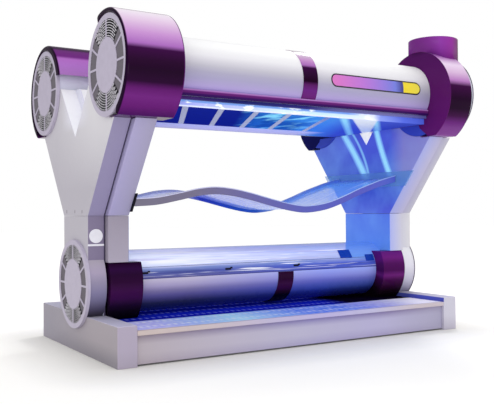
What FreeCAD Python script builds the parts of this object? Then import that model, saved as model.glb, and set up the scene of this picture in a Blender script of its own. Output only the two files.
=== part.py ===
"""Clamshell tanning bed: platform, two Y-shaped posts, bench, lower lamp tube and lifting canopy.

Millimetres. The origin is on the floor under the middle of the platform. X runs along the
length of the bed, -Y is the front and Z is up. Left pieces are at -X and right pieces at +X.
"""
import FreeCAD, Part
import os
import Sketcher

Vector = FreeCAD.Vector
Rotation = FreeCAD.Rotation
LEFT = -1
RIGHT = 1
FRONT = -1
REAR = 1
SIDES = ((LEFT, "left"), (RIGHT, "right"))

doc = FreeCAD.newDocument("tanning_bed")
sheet = doc.addObject("Spreadsheet::Sheet", "Sizes")

DRIVING_SIZES = [
    # platform
    ("platform_length", 2600), ("platform_depth", 1362), ("platform_rise", 231),
    ("end_beam_width", 119.5), ("beam_wall", 3),
    ("deck_rise", 200), ("deck_sheet", 3), ("nosing_depth", 28),
    ("kick_setback", 21), ("kick_sheet", 2), ("kick_floor_gap", 10),
    ("foot_height", 12), ("foot_radius", 40),
    ("rail_size", 60), ("rail_wall", 4), ("rail_setback", 181),
    ("ballast_width", 180), ("ballast_height", 90), ("ballast_gap", 340), ("box_wall", 2),
    ("mains_length", 160), ("mains_width", 90), ("mains_height", 90), ("mains_setback", 280),
    ("gland_radius", 12), ("gland_length", 18),
    # posts
    ("outer_inset", 0.7), ("outer_slab", 101.3), ("groove_width", 12), ("inner_slab", 132.5),
    ("column_half", 262.8), ("outer_setback", 44), ("bend_rise", 834.3), ("arm_overhang", 105.7),
    ("outer_apex_drop", 351), ("inner_apex_drop", 301),
    ("outer_notch_gap", 292), ("inner_notch_gap", 351.5), ("wing_drop", 8),
    ("cover_wall", 3), ("core_inset", 14), ("upright_size", 60), ("upright_setback", 112.8),
    # drums at the ends of the tubes
    ("drum_offset", 580), ("drum_rise", 1673), ("drum_radius", 283), ("drum_wall", 3),
    ("bulkhead", 6), ("duct_radius", 150),
    ("grille_overlap", 4), ("grille_left_depth", 19.2), ("grille_right_depth", 3),
    ("grille_sheet", 3), ("grille_rim", 38), ("grille_hub", 155), ("spoke_width", 10),
    ("louvre_width", 7), ("louvre_count", 4),
    ("shroud_shift", 20), ("shroud_drop", 13), ("shroud_gap", 51), ("shroud_wall", 3),
    ("shroud_below", 279), ("shroud_above", 93.5), ("lip_reach", 20),
    ("left_shroud_out", 25.4), ("left_shroud_in", 68.5),
    ("right_shroud_out", 38), ("right_shroud_in", 9.5),
    ("heel_reach", 17), ("heel_lift", 61), ("toe_reach", 97), ("waist_reach", 5),
    ("plate_reach", 280),
    # canopy
    ("tube_shift", 100), ("tube_lift", 9), ("tube_radius", 222), ("tube_wall", 3),
    ("tube_cut", 116), ("tube_end_plate", 8),
    ("band_half", 56), ("band_wall", 3.7), ("badge_gap", 109), ("badge_margin", 94),
    ("badge_below", 23), ("badge_above", 65), ("badge_sheet", 2),
    ("trim_reach", 207), ("trim_depth", 20), ("trim_height", 41),
    ("tray_drop", 59), ("tray_sheet", 3), ("tray_rear_drop", 160), ("rear_rail", 20),
    ("pan_depth", 40), ("pan_sheet", 4), ("pan_setback", 47), ("rib_count", 6), ("rib_width", 30),
    ("lamp_radius", 19), ("lamp_wall", 2), ("lamp_count", 17), ("lamp_setback", 50),
    ("lamp_drop", 28), ("holder_width", 20),
    ("collar_setback", 100), ("collar_radius", 176), ("collar_wall", 3),
    ("collar_foot", 237), ("collar_height", 180), ("spigot_length", 95), ("collar_step", 2),
    ("journal_radius", 60), ("journal_wall", 10), ("journal_tail", 14), ("bearing_wall", 14),
    # lower lamp tube
    ("lower_lift", 215), ("lower_drum_radius", 268), ("lower_grille_overlap", 4.7),
    ("lower_ring_gap", 19.5), ("lower_ring_wall", 3), ("lower_ring_reach", 83.5),
    ("lower_ring_height", 137), ("lower_tube_radius", 200), ("lower_tube_wall", 3),
    ("shell_lift", 21), ("lower_band_start", 80), ("lower_band_end", 207),
    ("lower_band_wall", 4.7), ("reflector_gap", 70), ("reflector_sheet", 1.5),
    ("lower_lamp_gap", 35), ("lower_lamp_count", 9), ("lower_lamp_step", 18),
    # bench
    ("bench_half_width", 340), ("bench_rail_width", 22),
    ("bench_rail_height", 46), ("bench_sheet_height", 8),
    ("bench_left_rise", 913), ("bench_head_rise", 990), ("bench_head_place", 497),
    ("bench_seat_rise", 868), ("bench_seat_place", 211), ("bench_right_rise", 1092),
    ("bench_end_run", 100), ("bench_end_climb", 21),
    ("bracket_plate", 8), ("bracket_ledge", 22), ("bracket_drop", 55), ("bracket_over", 18),
    ("ledge_drop", 8), ("ledge_height", 18),
    # fans
    ("rotor_setback", 50), ("rotor_width", 35), ("rotor_hub", 60), ("rotor_gap", 36),
    ("blade_sheet", 4), ("blade_count", 8), ("blade_lean", 26),
    ("motor_radius", 55), ("motor_length", 42), ("motor_gap", 4), ("motor_shaft", 8),
    ("cross_bar_width", 50), ("cross_bar_sheet", 6),
    # badge on the left post
    ("emblem_radius", 42), ("emblem_sheet", 6), ("emblem_rise", 714),
    ("bar_length", 100), ("bar_height", 12), ("bar_rise", 660),
    # clearances
    ("seat", 0.3), ("running", 0.05), ("clearance", 1),
]
for row, (alias, number) in enumerate(DRIVING_SIZES, start=1):
    sheet.set("A%d" % row, alias)
    sheet.set("B%d" % row, str(number))
    sheet.setAlias("B%d" % row, alias)
doc.recompute()

SIZE_NAMES = [alias for alias, number in DRIVING_SIZES]

# Places and sizes that follow from the driving ones. A later entry may name an earlier one.
DERIVED = {
    # platform
    "rail_offset": "(platform_depth / 2 - rail_setback)",
    "cross_pitch": "((platform_length / 2 - end_beam_width - seat - rail_size / 2) / 2)",
    "ballast_length": "(cross_pitch + rail_size / 2)",
    "ballast_offset": "(ballast_gap / 2 + ballast_width / 2)",
    "mains_place": "(platform_length / 2 - end_beam_width - mains_setback)",
    # posts, as distances from the middle of the bed
    "post_outer": "(platform_length / 2 - outer_inset)",
    "groove_outer": "(post_outer - outer_slab)",
    "groove_inner": "(groove_outer - groove_width)",
    "post_inner": "(groove_inner - inner_slab)",
    "arm_top": "(drum_rise - drum_radius - 10 * clearance)",
    "wing_top": "(drum_rise - wing_drop)",
    "arm_slope": "((drum_offset + arm_overhang - column_half) / (arm_top - bend_rise))",
    "notch_outer_rise": "(drum_rise - outer_apex_drop)",
    "notch_inner_rise": "(drum_rise - inner_apex_drop)",
    "notch_outer_slope": "((drum_offset - outer_notch_gap) / (wing_top - notch_outer_rise))",
    "notch_inner_slope": "((drum_offset - inner_notch_gap) / (wing_top - notch_inner_rise))",
    "upright_offset": "(column_half - upright_setback)",
    # drums
    "drum_end": "(platform_length / 2)",
    "grille_radius": "(drum_radius + grille_overlap)",
    "shroud_offset": "(drum_offset - shroud_shift)",
    "shroud_rise": "(drum_rise - shroud_drop)",
    "shroud_radius": "(drum_radius + shroud_gap)",
    "shroud_floor": "(shroud_rise - shroud_below)",
    "shroud_edge": "(shroud_rise + shroud_above)",
    "shroud_lip_end": "(drum_offset + lip_reach)",
    "shroud_left_in": "(post_inner - left_shroud_in)",
    "shroud_left_out": "(drum_end + left_shroud_out)",
    "shroud_right_in": "(post_inner - right_shroud_in)",
    "shroud_right_out": "(drum_end - right_shroud_out)",
    "plate_heel": "(drum_offset + heel_reach)",
    "plate_heel_rise": "(shroud_floor + heel_lift)",
    "plate_toe": "(drum_offset + toe_reach)",
    "plate_waist": "(drum_offset + waist_reach)",
    "plate_edge": "(drum_offset - plate_reach)",
    # canopy
    "tube_offset": "(drum_offset - tube_shift)",
    "tube_rise": "(drum_rise + tube_lift)",
    "tube_floor": "(tube_rise - tube_cut)",
    "badge_end": "(shroud_right_in - badge_margin)",
    "badge_start": "(band_half + badge_gap)",
    "badge_low": "(tube_rise - badge_below)",
    "badge_high": "(tube_rise + badge_above)",
    "trim_front": "(tube_offset + trim_reach)",
    "trim_floor": "(tube_floor - trim_height)",
    "tray_floor": "(tube_floor - tray_drop)",
    "tray_rear": "(drum_offset - tray_rear_drop)",
    "pan_front": "(trim_front - pan_setback)",
    "pan_floor": "(tray_floor - pan_depth)",
    "lamp_first": "(pan_front - lamp_setback)",
    "lamp_rise": "(tube_floor - lamp_drop)",
    "lamp_pitch": "((lamp_first + tray_rear - lamp_setback) / (lamp_count - 1))",
    "collar_place": "(drum_end - collar_setback)",
    "collar_floor": "(drum_rise + collar_foot)",
    "collar_top": "(collar_floor + collar_height)",
    # lower lamp tube
    "lower_rise": "(deck_rise + lower_lift)",
    "lower_grille_radius": "(lower_drum_radius + lower_grille_overlap)",
    "lower_ring_radius": "(lower_drum_radius + lower_ring_gap)",
    "lower_ring_in": "(post_inner - lower_ring_reach)",
    "lower_ring_top": "(lower_rise + lower_ring_height)",
    "shell_edge_rise": "(lower_rise + shell_lift)",
    "reflector_radius": "(lower_tube_radius - reflector_gap)",
    "lower_lamp_ring": "(lower_tube_radius - lower_lamp_gap)",
    # bench, fans and badge
    "bench_end": "(post_inner - seat - bracket_plate)",
    "rotor_start": "(drum_end - rotor_setback)",
    "motor_start": "(rotor_start - motor_gap - motor_length)",
    "rotor_radius": "(lower_drum_radius - rotor_gap)",
    "emblem_place": "(post_outer - outer_slab / 2)",
}


def bound(expression):
    """Turn a formula in plain size names into one that names the spreadsheet."""
    words = []
    word = ""
    for letter in str(expression) + " ":
        if letter.isalnum() or letter in "_.":
            word += letter
            continue
        if word in DERIVED:
            words.append(bound(DERIVED[word]))
        elif word in SIZE_NAMES:
            words.append("Sizes." + word)
        else:
            words.append(word)
        words.append(letter)
        word = ""
    return "".join(words).strip()


def value(expression):
    """The number that a formula gives with the sizes in the sheet."""
    return float(sheet.evalExpression(bound(expression)))


def bind(thing, prop, expression):
    thing.setExpression(prop, bound(expression))


def signed(side, expression):
    """The same distance to the left or right, or to the front or rear."""
    return "(%d) * (%s)" % (side, expression)


def place(thing, x, y, z):
    """Bind the three parts of a placement."""
    bind(thing, "Placement.Base.x", x)
    bind(thing, "Placement.Base.y", y)
    bind(thing, "Placement.Base.z", z)


def slab(name, x, y, z):
    """Box between two formulas along each axis, lower one first."""
    thing = doc.addObject("Part::Box", name)
    bind(thing, "Length", "(%s) - (%s)" % (x[1], x[0]))
    bind(thing, "Width", "(%s) - (%s)" % (y[1], y[0]))
    bind(thing, "Height", "(%s) - (%s)" % (z[1], z[0]))
    place(thing, x[0], y[0], z[0])
    return thing


def side_slab(name, side, x, y, z):
    """Box whose X limits are distances from the middle, on one side."""
    low = signed(side, x[0] if side == RIGHT else x[1])
    high = signed(side, x[1] if side == RIGHT else x[0])
    return slab(name, (low, high), y, z)


def mirror_y(face, y):
    """Y limits for the front or the rear, from distances to the middle."""
    low = signed(face, y[0] if face == REAR else y[1])
    high = signed(face, y[1] if face == REAR else y[0])
    return (low, high)


def rod(name, radius, x, y, z):
    """Cylinder along X between two formulas."""
    thing = doc.addObject("Part::Cylinder", name)
    thing.Placement = FreeCAD.Placement(Vector(), Rotation(Vector(0, 1, 0), 90))
    bind(thing, "Radius", radius)
    bind(thing, "Height", "(%s) - (%s)" % (x[1], x[0]))
    place(thing, x[0], y, z)
    return thing


def side_rod(name, side, radius, x, y, z):
    """Cylinder along X whose limits are distances from the middle, on one side."""
    low = signed(side, x[0] if side == RIGHT else x[1])
    high = signed(side, x[1] if side == RIGHT else x[0])
    return rod(name, radius, (low, high), y, z)


def pillar(name, radius, x, y, z):
    """Cylinder along Z between two formulas."""
    thing = doc.addObject("Part::Cylinder", name)
    bind(thing, "Radius", radius)
    bind(thing, "Height", "(%s) - (%s)" % (z[1], z[0]))
    place(thing, x, y, z[0])
    return thing


def fuse(name, things):
    thing = doc.addObject("Part::MultiFuse", name)
    thing.Shapes = list(things)
    return thing


def group(name, things):
    """Separate solids kept together in one sub-part."""
    thing = doc.addObject("Part::Compound", name)
    thing.Links = list(things)
    return thing


def cut(name, base, tool):
    thing = doc.addObject("Part::Cut", name)
    thing.Base = base
    thing.Tool = tool
    return thing


def common(name, things):
    thing = doc.addObject("Part::MultiCommon", name)
    thing.Shapes = list(things)
    return thing


def origin_plane(body, role):
    return [item for item in body.Origin.OriginFeatures if item.Role == role][0]


def outline(body, name, role, offset, points):
    """Closed sketch of straight lines on an origin plane, each corner bound to two formulas."""
    sketch = body.newObject("Sketcher::SketchObject", name)
    sketch.AttachmentSupport = [(origin_plane(body, role), "")]
    sketch.MapMode = "FlatFace"
    bind(sketch, "AttachmentOffset.Base.z", offset)
    corners = [(value(across), value(up)) for across, up in points]
    count = len(points)
    for index, corner in enumerate(corners):
        following = corners[(index + 1) % count]
        sketch.addGeometry(Part.LineSegment(Vector(*corner, 0), Vector(*following, 0)))
    for index in range(count):
        sketch.addConstraint(Sketcher.Constraint("Coincident", index, 2, (index + 1) % count, 1))
    for index, (across, up) in enumerate(points):
        for kind, formula, number in (("DistanceX", across, corners[index][0]),
                                      ("DistanceY", up, corners[index][1])):
            constraint = sketch.addConstraint(Sketcher.Constraint(kind, -1, 1, index, 1, number))
            bind(sketch, "Constraints[%d]" % constraint, formula)
    return sketch


def plate(name, side, x, points):
    """Body padded from a (y, z) outline, between two distances from the middle."""
    body = doc.addObject("PartDesign::Body", name)
    start = signed(side, x[0] if side == RIGHT else x[1])
    sketch = outline(body, name + "_outline", "YZ_Plane", start, points)
    pad = body.newObject("PartDesign::Pad", name + "_pad")
    pad.Profile = sketch
    bind(pad, "Length", "(%s) - (%s)" % (x[1], x[0]))
    return body


SAME_PLACE = 1e-6


def hollow(body, x_open, wall):
    """Hollow a plate from the flat face that lies at the given X."""
    doc.recompute()
    pad = body.Tip
    level = value(x_open)
    shell = body.newObject("PartDesign::Thickness", body.Name + "_hollow")
    for index, face in enumerate(pad.Shape.Faces, start=1):
        bounds = face.BoundBox
        if bounds.XLength < SAME_PLACE and abs(bounds.XMin - level) < SAME_PLACE:
            shell.Base = (pad, ["Face%d" % index])
    shell.Join = 1
    shell.Mode = 0
    shell.Reversed = True
    bind(shell, "Value", wall)
    return body


subparts = []


def finish(node, thing):
    """Give a finished sub-part the label that names its file."""
    thing.Label = node
    subparts.append(thing)
    return thing


# ---- platform ------------------------------------------------------------------------------
BEAM_INNER = "(platform_length / 2 - end_beam_width)"
BEAM_OUTER = "(platform_length / 2)"
HALF_DEPTH = "(platform_depth / 2)"
FRAME_END = "(platform_length / 2 - end_beam_width - seat)"
RAIL_TOP = "(foot_height + rail_size)"
DECK_UNDER = "(deck_rise - deck_sheet)"


def square_tube_x(name, x, y_middle, z_low):
    """Hollow square rail along X."""
    half = "rail_size / 2"
    inside = "(rail_size / 2 - rail_wall)"
    outer = slab(name + "_outer", x, ("%s - %s" % (y_middle, half), "%s + %s" % (y_middle, half)),
                 (z_low, "%s + rail_size" % z_low))
    inner = slab(name + "_inner", x,
                 ("%s - %s" % (y_middle, inside), "%s + %s" % (y_middle, inside)),
                 ("%s + rail_wall" % z_low, "%s + rail_size - rail_wall" % z_low))
    return cut(name, outer, inner)


def make_base_frame():
    """Two long rails, five cross members between them and short legs that carry the deck."""
    pieces = []
    for face in (FRONT, REAR):
        middle = signed(face, "rail_offset")
        tag = "front" if face == FRONT else "rear"
        pieces.append(square_tube_x("rail_" + tag, ("-" + FRAME_END, FRAME_END), middle, "foot_height"))
    cross = "(rail_offset - rail_size / 2)"
    places = ["-(%s - rail_size / 2)" % FRAME_END, "-cross_pitch", "0 * cross_pitch", "cross_pitch",
              "%s - rail_size / 2" % FRAME_END]
    for index, middle in enumerate(places):
        beam = slab("cross_%d_outer" % index,
                    ("%s - rail_size / 2" % middle, "%s + rail_size / 2" % middle),
                    ("-" + cross, cross), ("foot_height", RAIL_TOP))
        inside = slab("cross_%d_inner" % index,
                      ("%s - rail_size / 2 + rail_wall" % middle, "%s + rail_size / 2 - rail_wall" % middle),
                      ("-" + cross, cross), ("foot_height + rail_wall", "%s - rail_wall" % RAIL_TOP))
        pieces.append(cut("cross_%d" % index, beam, inside))
        for face in (FRONT, REAR):
            centre = signed(face, "rail_offset")
            pieces.append(slab("leg_%d_%d" % (index, face + 1),
                               ("%s - rail_size / 3" % middle, "%s + rail_size / 3" % middle),
                               ("%s - rail_size / 3" % centre, "%s + rail_size / 3" % centre),
                               (RAIL_TOP, DECK_UNDER + " - seat")))
    finish("base_frame", fuse("base_frame", pieces))


def make_base_feet():
    """Round pads under the frame; the one at the origin is the reference face on the floor."""
    pads = []
    for index, x in enumerate(("-(%s - rail_size)" % FRAME_END, "0 * seat", "%s - rail_size" % FRAME_END)):
        for face in (FRONT, 0, REAR):
            pads.append(pillar("foot_%d_%d" % (index, face + 1), "foot_radius", x,
                               signed(face, "rail_offset"), ("0 * seat", "foot_height - seat")))
    finish("base_feet", group("base_feet", pads))


def make_end_beams():
    """Raised covers over the ends of the platform, notched for the lower drum casings."""
    for side, tag in SIDES:
        name = "end_beam_" + tag
        outer = side_slab(name + "_outer", side, (BEAM_INNER, BEAM_OUTER),
                          ("-" + HALF_DEPTH, HALF_DEPTH), ("0 * seat", "platform_rise"))
        inner = side_slab(name + "_inner", side,
                          (BEAM_INNER + " + beam_wall", BEAM_OUTER + " - beam_wall"),
                          ("-(%s - beam_wall)" % HALF_DEPTH, "%s - beam_wall" % HALF_DEPTH),
                          ("-clearance", "platform_rise - beam_wall"))
        notch = side_rod(name + "_notch", side, "lower_drum_radius + seat",
                         ("groove_outer", BEAM_OUTER + " + clearance"), "0 * seat", "lower_rise")
        cover = cut(name + "_shell", cut(name + "_box", outer, inner), notch)
        finish(name, cover)


def make_kick_panels():
    panels = []
    for face, tag in ((FRONT, "front"), (REAR, "rear")):
        y = mirror_y(face, ("%s - kick_setback - kick_sheet" % HALF_DEPTH,
                            "%s - kick_setback" % HALF_DEPTH))
        panel = slab("kick_" + tag, ("-" + FRAME_END, FRAME_END), y,
                     ("kick_floor_gap", "deck_rise - nosing_depth - seat"))
        if face == REAR:
            hole = doc.addObject("Part::Cylinder", "gland_hole")
            hole.Placement = FreeCAD.Placement(Vector(), Rotation(Vector(1, 0, 0), -90))
            bind(hole, "Radius", "gland_radius + seat")
            bind(hole, "Height", "kick_setback + kick_sheet + 2 * clearance")
            place(hole, "mains_place", "%s - kick_setback - kick_sheet - clearance" % HALF_DEPTH,
                  "%s + clearance + mains_height / 2" % RAIL_TOP)
            panel = cut("kick_rear_panel", panel, hole)
        panels.append(panel)
    finish("kick_panels", group("kick_panels", panels))


def upright_limits(face, gap):
    """Y limits of a post upright, with a gap around it."""
    return mirror_y(face, ("upright_offset - upright_size / 2 - %s" % gap,
                           "upright_offset + upright_size / 2 + %s" % gap))


def make_deck():
    """Deck sheet with openings for the post uprights, and its nosing strip along the front."""
    top = slab("deck_blank", ("-" + FRAME_END, FRAME_END),
               ("-(%s - nosing_depth - seat)" % HALF_DEPTH, HALF_DEPTH), (DECK_UNDER, "deck_rise"))
    holes = []
    for side, tag in SIDES:
        for face in (FRONT, REAR):
            holes.append(side_slab("deck_hole_%s_%d" % (tag, face + 1), side,
                                   (FRAME_END + " - upright_size - clearance", FRAME_END + " + clearance"),
                                   upright_limits(face, "clearance"),
                                   (DECK_UNDER + " - clearance", "deck_rise + clearance")))
    finish("deck_plate", cut("deck_plate", top, fuse("deck_holes", holes)))
    bar = slab("nosing_bar", ("-" + FRAME_END, FRAME_END),
               ("-" + HALF_DEPTH, "-(%s - nosing_depth)" % HALF_DEPTH),
               ("deck_rise - nosing_depth", "deck_rise"))
    inside = slab("nosing_inside", ("-(%s + clearance)" % FRAME_END, FRAME_END + " + clearance"),
                  ("-(%s - deck_sheet)" % HALF_DEPTH, "-(%s - nosing_depth + deck_sheet)" % HALF_DEPTH),
                  ("deck_rise - nosing_depth + deck_sheet", "deck_rise - deck_sheet"))
    finish("deck_nosing", cut("deck_nosing", bar, inside))


def make_electrics():
    """Ballast boxes across the cross members and the mains box behind the rear panel."""
    boxes = []
    for side, tag in SIDES:
        for face in (FRONT, REAR):
            name = "ballast_%s_%d" % (tag, face + 1)
            outer = side_slab(name + "_outer", side, ("clearance", "ballast_length"),
                              mirror_y(face, ("ballast_offset - ballast_width / 2",
                                              "ballast_offset + ballast_width / 2")),
                              (RAIL_TOP + " + seat", RAIL_TOP + " + seat + ballast_height"))
            inner = side_slab(name + "_inner", side,
                              ("clearance + box_wall", "ballast_length - box_wall"),
                              mirror_y(face, ("ballast_offset - ballast_width / 2 + box_wall",
                                              "ballast_offset + ballast_width / 2 - box_wall")),
                              (RAIL_TOP, RAIL_TOP + " + seat + ballast_height - box_wall"))
            boxes.append(cut(name, outer, inner))
    finish("ballast_boxes", group("ballast_boxes", boxes))
    back = "%s - kick_setback - kick_sheet - seat" % HALF_DEPTH
    body = slab("mains_body", ("mains_place - mains_length / 2", "mains_place + mains_length / 2"),
                ("%s - mains_width" % back, back),
                (RAIL_TOP + " + clearance", RAIL_TOP + " + clearance + mains_height"))
    gland = doc.addObject("Part::Cylinder", "mains_gland")
    gland.Placement = FreeCAD.Placement(Vector(), Rotation(Vector(1, 0, 0), -90))
    bind(gland, "Radius", "gland_radius")
    bind(gland, "Height", "gland_length + seat")
    place(gland, "mains_place", back, "%s + clearance + mains_height / 2" % RAIL_TOP)
    finish("mains_box", fuse("mains_box", [body, gland]))


# ---- posts ---------------------------------------------------------------------------------
def post_points(half, inset, notch_rise, notch_slope, foot):
    """Corners of a Y-shaped slab: column, arms out to the flat tops, cradle side, notch."""
    arm_edge = "(%s - %s + arm_slope * (arm_top - %s - bend_rise))" % (half, inset, inset)
    tip = "((wing_top - %s - %s - %s) * %s)" % (inset, notch_rise, inset, notch_slope)
    corners = [
        ("(%s - %s)" % (half, inset), foot),
        ("(%s - %s)" % (half, inset), "bend_rise"),
        (arm_edge, "arm_top - %s" % inset),
        ("(shroud_lip_end - 2 * clearance)", "arm_top - %s" % inset),
        ("(shroud_lip_end - 2 * clearance)", "wing_top - %s" % inset),
        (tip, "wing_top - %s" % inset),
    ]
    front = [("-" + across, up) for across, up in corners]
    apex = [("0 * seat", "%s + %s" % (notch_rise, inset))]
    rear = [(across, up) for across, up in reversed(corners)]
    return front + apex + rear


def cradle_tools(name, side):
    """Cylinders that clear the drum casings resting in the arms."""
    x = ("post_inner - 10 * clearance", "post_outer + 10 * clearance")
    tools = []
    for face in (FRONT, REAR):
        tools.append(side_rod("%s_cradle_%d" % (name, face + 1), side, "drum_radius + seat", x,
                              signed(face, "drum_offset"), "drum_rise"))
    return tools


def make_post(side, tag):
    """Steel core between two hollow covers; all three are cut to the drums they carry."""
    inner = plate("inner_slab_" + tag, side, ("post_inner", "groove_inner"),
                  post_points("column_half", "0 * seat", "notch_inner_rise", "notch_inner_slope",
                              "lower_ring_top"))
    hollow(inner, signed(side, "groove_inner"), "cover_wall")
    open_foot = side_slab("inner_foot_" + tag, side,
                          ("post_inner + cover_wall", "groove_inner + clearance"),
                          ("-(column_half - cover_wall)", "column_half - cover_wall"),
                          ("lower_ring_top - clearance", "lower_ring_top + 2 * cover_wall"))
    tube_gap = side_rod("inner_tube_gap_" + tag, side, "lower_tube_radius + 2 * clearance",
                        ("post_inner - clearance", "groove_inner + clearance"), "0 * seat", "lower_rise")
    tools = cradle_tools("inner_" + tag, side) + [open_foot, tube_gap]
    finish("post_inner_cover_" + tag,
           cut("post_inner_cover_" + tag, inner, fuse("inner_tools_" + tag, tools)))

    drum = side_rod("outer_foot_" + tag, side, "lower_drum_radius + seat",
                    ("groove_outer - clearance", "post_outer + clearance"), "0 * seat", "lower_rise")
    below = side_slab("outer_below_" + tag, side,
                      ("groove_outer - clearance", "post_outer + clearance"),
                      ("-column_half", "column_half"), ("platform_rise", "lower_rise"))
    outer = plate("outer_slab_" + tag, side, ("groove_outer", "post_outer"),
                  post_points("(column_half - outer_setback)", "0 * seat", "notch_outer_rise",
                              "notch_outer_slope", "lower_rise"))
    hollow(outer, signed(side, "groove_outer"), "cover_wall")
    tools = cradle_tools("outer_" + tag, side) + [drum, below]
    finish("post_outer_cover_" + tag,
           cut("post_outer_cover_" + tag, outer, fuse("outer_tools_" + tag, tools)))

    web = plate("core_web_" + tag, side, ("groove_inner", "groove_outer"),
                post_points("(column_half - outer_setback)", "core_inset", "notch_inner_rise",
                            "notch_inner_slope", "platform_rise + clearance"))
    pieces = [web]
    for face in (FRONT, REAR):
        label = "%s_%d" % (tag, face + 1)
        pieces.append(side_slab("upright_" + label, side, (FRAME_END + " - upright_size", FRAME_END),
                                upright_limits(face, "0 * seat"), (RAIL_TOP, "bend_rise")))
        pieces.append(side_slab("packer_" + label, side, (FRAME_END + " - upright_size / 2", "groove_inner"),
                                upright_limits(face, "0 * seat"),
                                ("lower_ring_top + 2 * clearance", "bend_rise")))
        low = "(upright_offset - upright_size / 2)"
        high = "(upright_offset + upright_size / 2)"
        lift = "(arm_top - 2 * core_inset - bend_rise)"
        arm = [(signed(face, low), "bend_rise - upright_size"),
               (signed(face, high), "bend_rise - upright_size"),
               (signed(face, "%s + arm_slope * %s" % (high, lift)), "arm_top - 2 * core_inset"),
               (signed(face, "%s + arm_slope * %s" % (low, lift)), "arm_top - 2 * core_inset")]
        pieces.append(plate("arm_" + label, side, (FRAME_END + " - upright_size", "groove_inner"), arm))
    finish("post_core_" + tag,
           cut("post_core_" + tag, fuse("core_parts_" + tag, pieces),
               fuse("core_tools_" + tag, cradle_tools("core_" + tag, side))))


make_base_frame()
make_base_feet()
make_end_beams()
make_kick_panels()
make_deck()
make_electrics()
for post_side, post_tag in SIDES:
    make_post(post_side, post_tag)

# ---- drums: casings, grilles and shrouds ----------------------------------------------------
SHROUD_IN = {LEFT: "shroud_left_in", RIGHT: "shroud_right_in"}
SHROUD_OUT = {LEFT: "shroud_left_out", RIGHT: "shroud_right_out"}
GRILLE_DEPTH = {LEFT: "grille_left_depth", RIGHT: "grille_right_depth"}
CASING_IN = {side: "(%s + shroud_wall + seat)" % SHROUD_IN[side] for side, tag in SIDES}
GRILLE_IN = "(drum_end + seat)"


def make_casing(name, side, start, floor, radius, y, z, bore):
    """Drum: a thin wall with a thick inner end that has a round bore; open at the outer end."""
    outer = side_rod(name + "_outer", side, radius, (start, "drum_end"), y, z)
    inner = side_rod(name + "_inner", side, "%s - drum_wall" % radius,
                     ("%s + %s" % (start, floor), "drum_end + clearance"), y, z)
    hole = side_rod(name + "_bore", side, bore,
                    ("%s - clearance" % start, "%s + %s + clearance" % (start, floor)), y, z)
    return cut(name, outer, fuse(name + "_tools", [inner, hole]))


def make_grille(name, side, radius, y, z):
    """Round grille: deep rim, flat face with a hub disc, twelve spokes and louvre rings."""
    depth = GRILLE_DEPTH[side]
    louvre_count = int(value("louvre_count"))
    pitch = "((%s - grille_rim - grille_hub) / (louvre_count + 1))" % radius
    back = "(%s + %s - grille_sheet)" % (GRILLE_IN, depth)
    face = "(%s + %s)" % (GRILLE_IN, depth)

    def ring(label, x, outer_radius, inner_radius):
        solid = side_rod("%s_%s_out" % (name, label), side, outer_radius, x, y, z)
        bore = side_rod("%s_%s_in" % (name, label), side, inner_radius,
                        ("%s - clearance" % x[0], "%s + clearance" % x[1]), y, z)
        return cut("%s_%s" % (name, label), solid, bore)

    pieces = [ring("rim", (GRILLE_IN, face), radius, "%s - 2 * drum_wall" % radius),
              ring("border", (back, face), radius, "%s - grille_rim" % radius),
              side_rod(name + "_hub", side, "grille_hub", (back, face), y, z)]
    for index in range(1, louvre_count + 1):
        middle = "(grille_hub + %d * %s)" % (index, pitch)
        pieces.append(ring("louvre_%d" % index, (back, face), "%s + louvre_width / 2" % middle,
                           "%s - louvre_width / 2" % middle))
    reach = "(%s - grille_rim / 2)" % radius
    for index in range(6):
        turn = Rotation(Vector(1, 0, 0), 30 * index)
        cosine = turn.multVec(Vector(0, 1, 0)).y
        sine = turn.multVec(Vector(0, 1, 0)).z
        bar = doc.addObject("Part::Box", "%s_spoke_%d" % (name, index))
        bar.Placement = FreeCAD.Placement(Vector(), turn)
        bind(bar, "Length", "grille_sheet")
        bind(bar, "Width", "2 * %s" % reach)
        bind(bar, "Height", "spoke_width")
        low = back if side == RIGHT else "(-%s)" % face
        place(bar, low, "%s - %s * %.9f + spoke_width / 2 * %.9f" % (y, reach, cosine, sine),
              "%s - %s * %.9f - spoke_width / 2 * %.9f" % (z, reach, sine, cosine))
        pieces.append(bar)
    return fuse(name, pieces)


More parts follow.
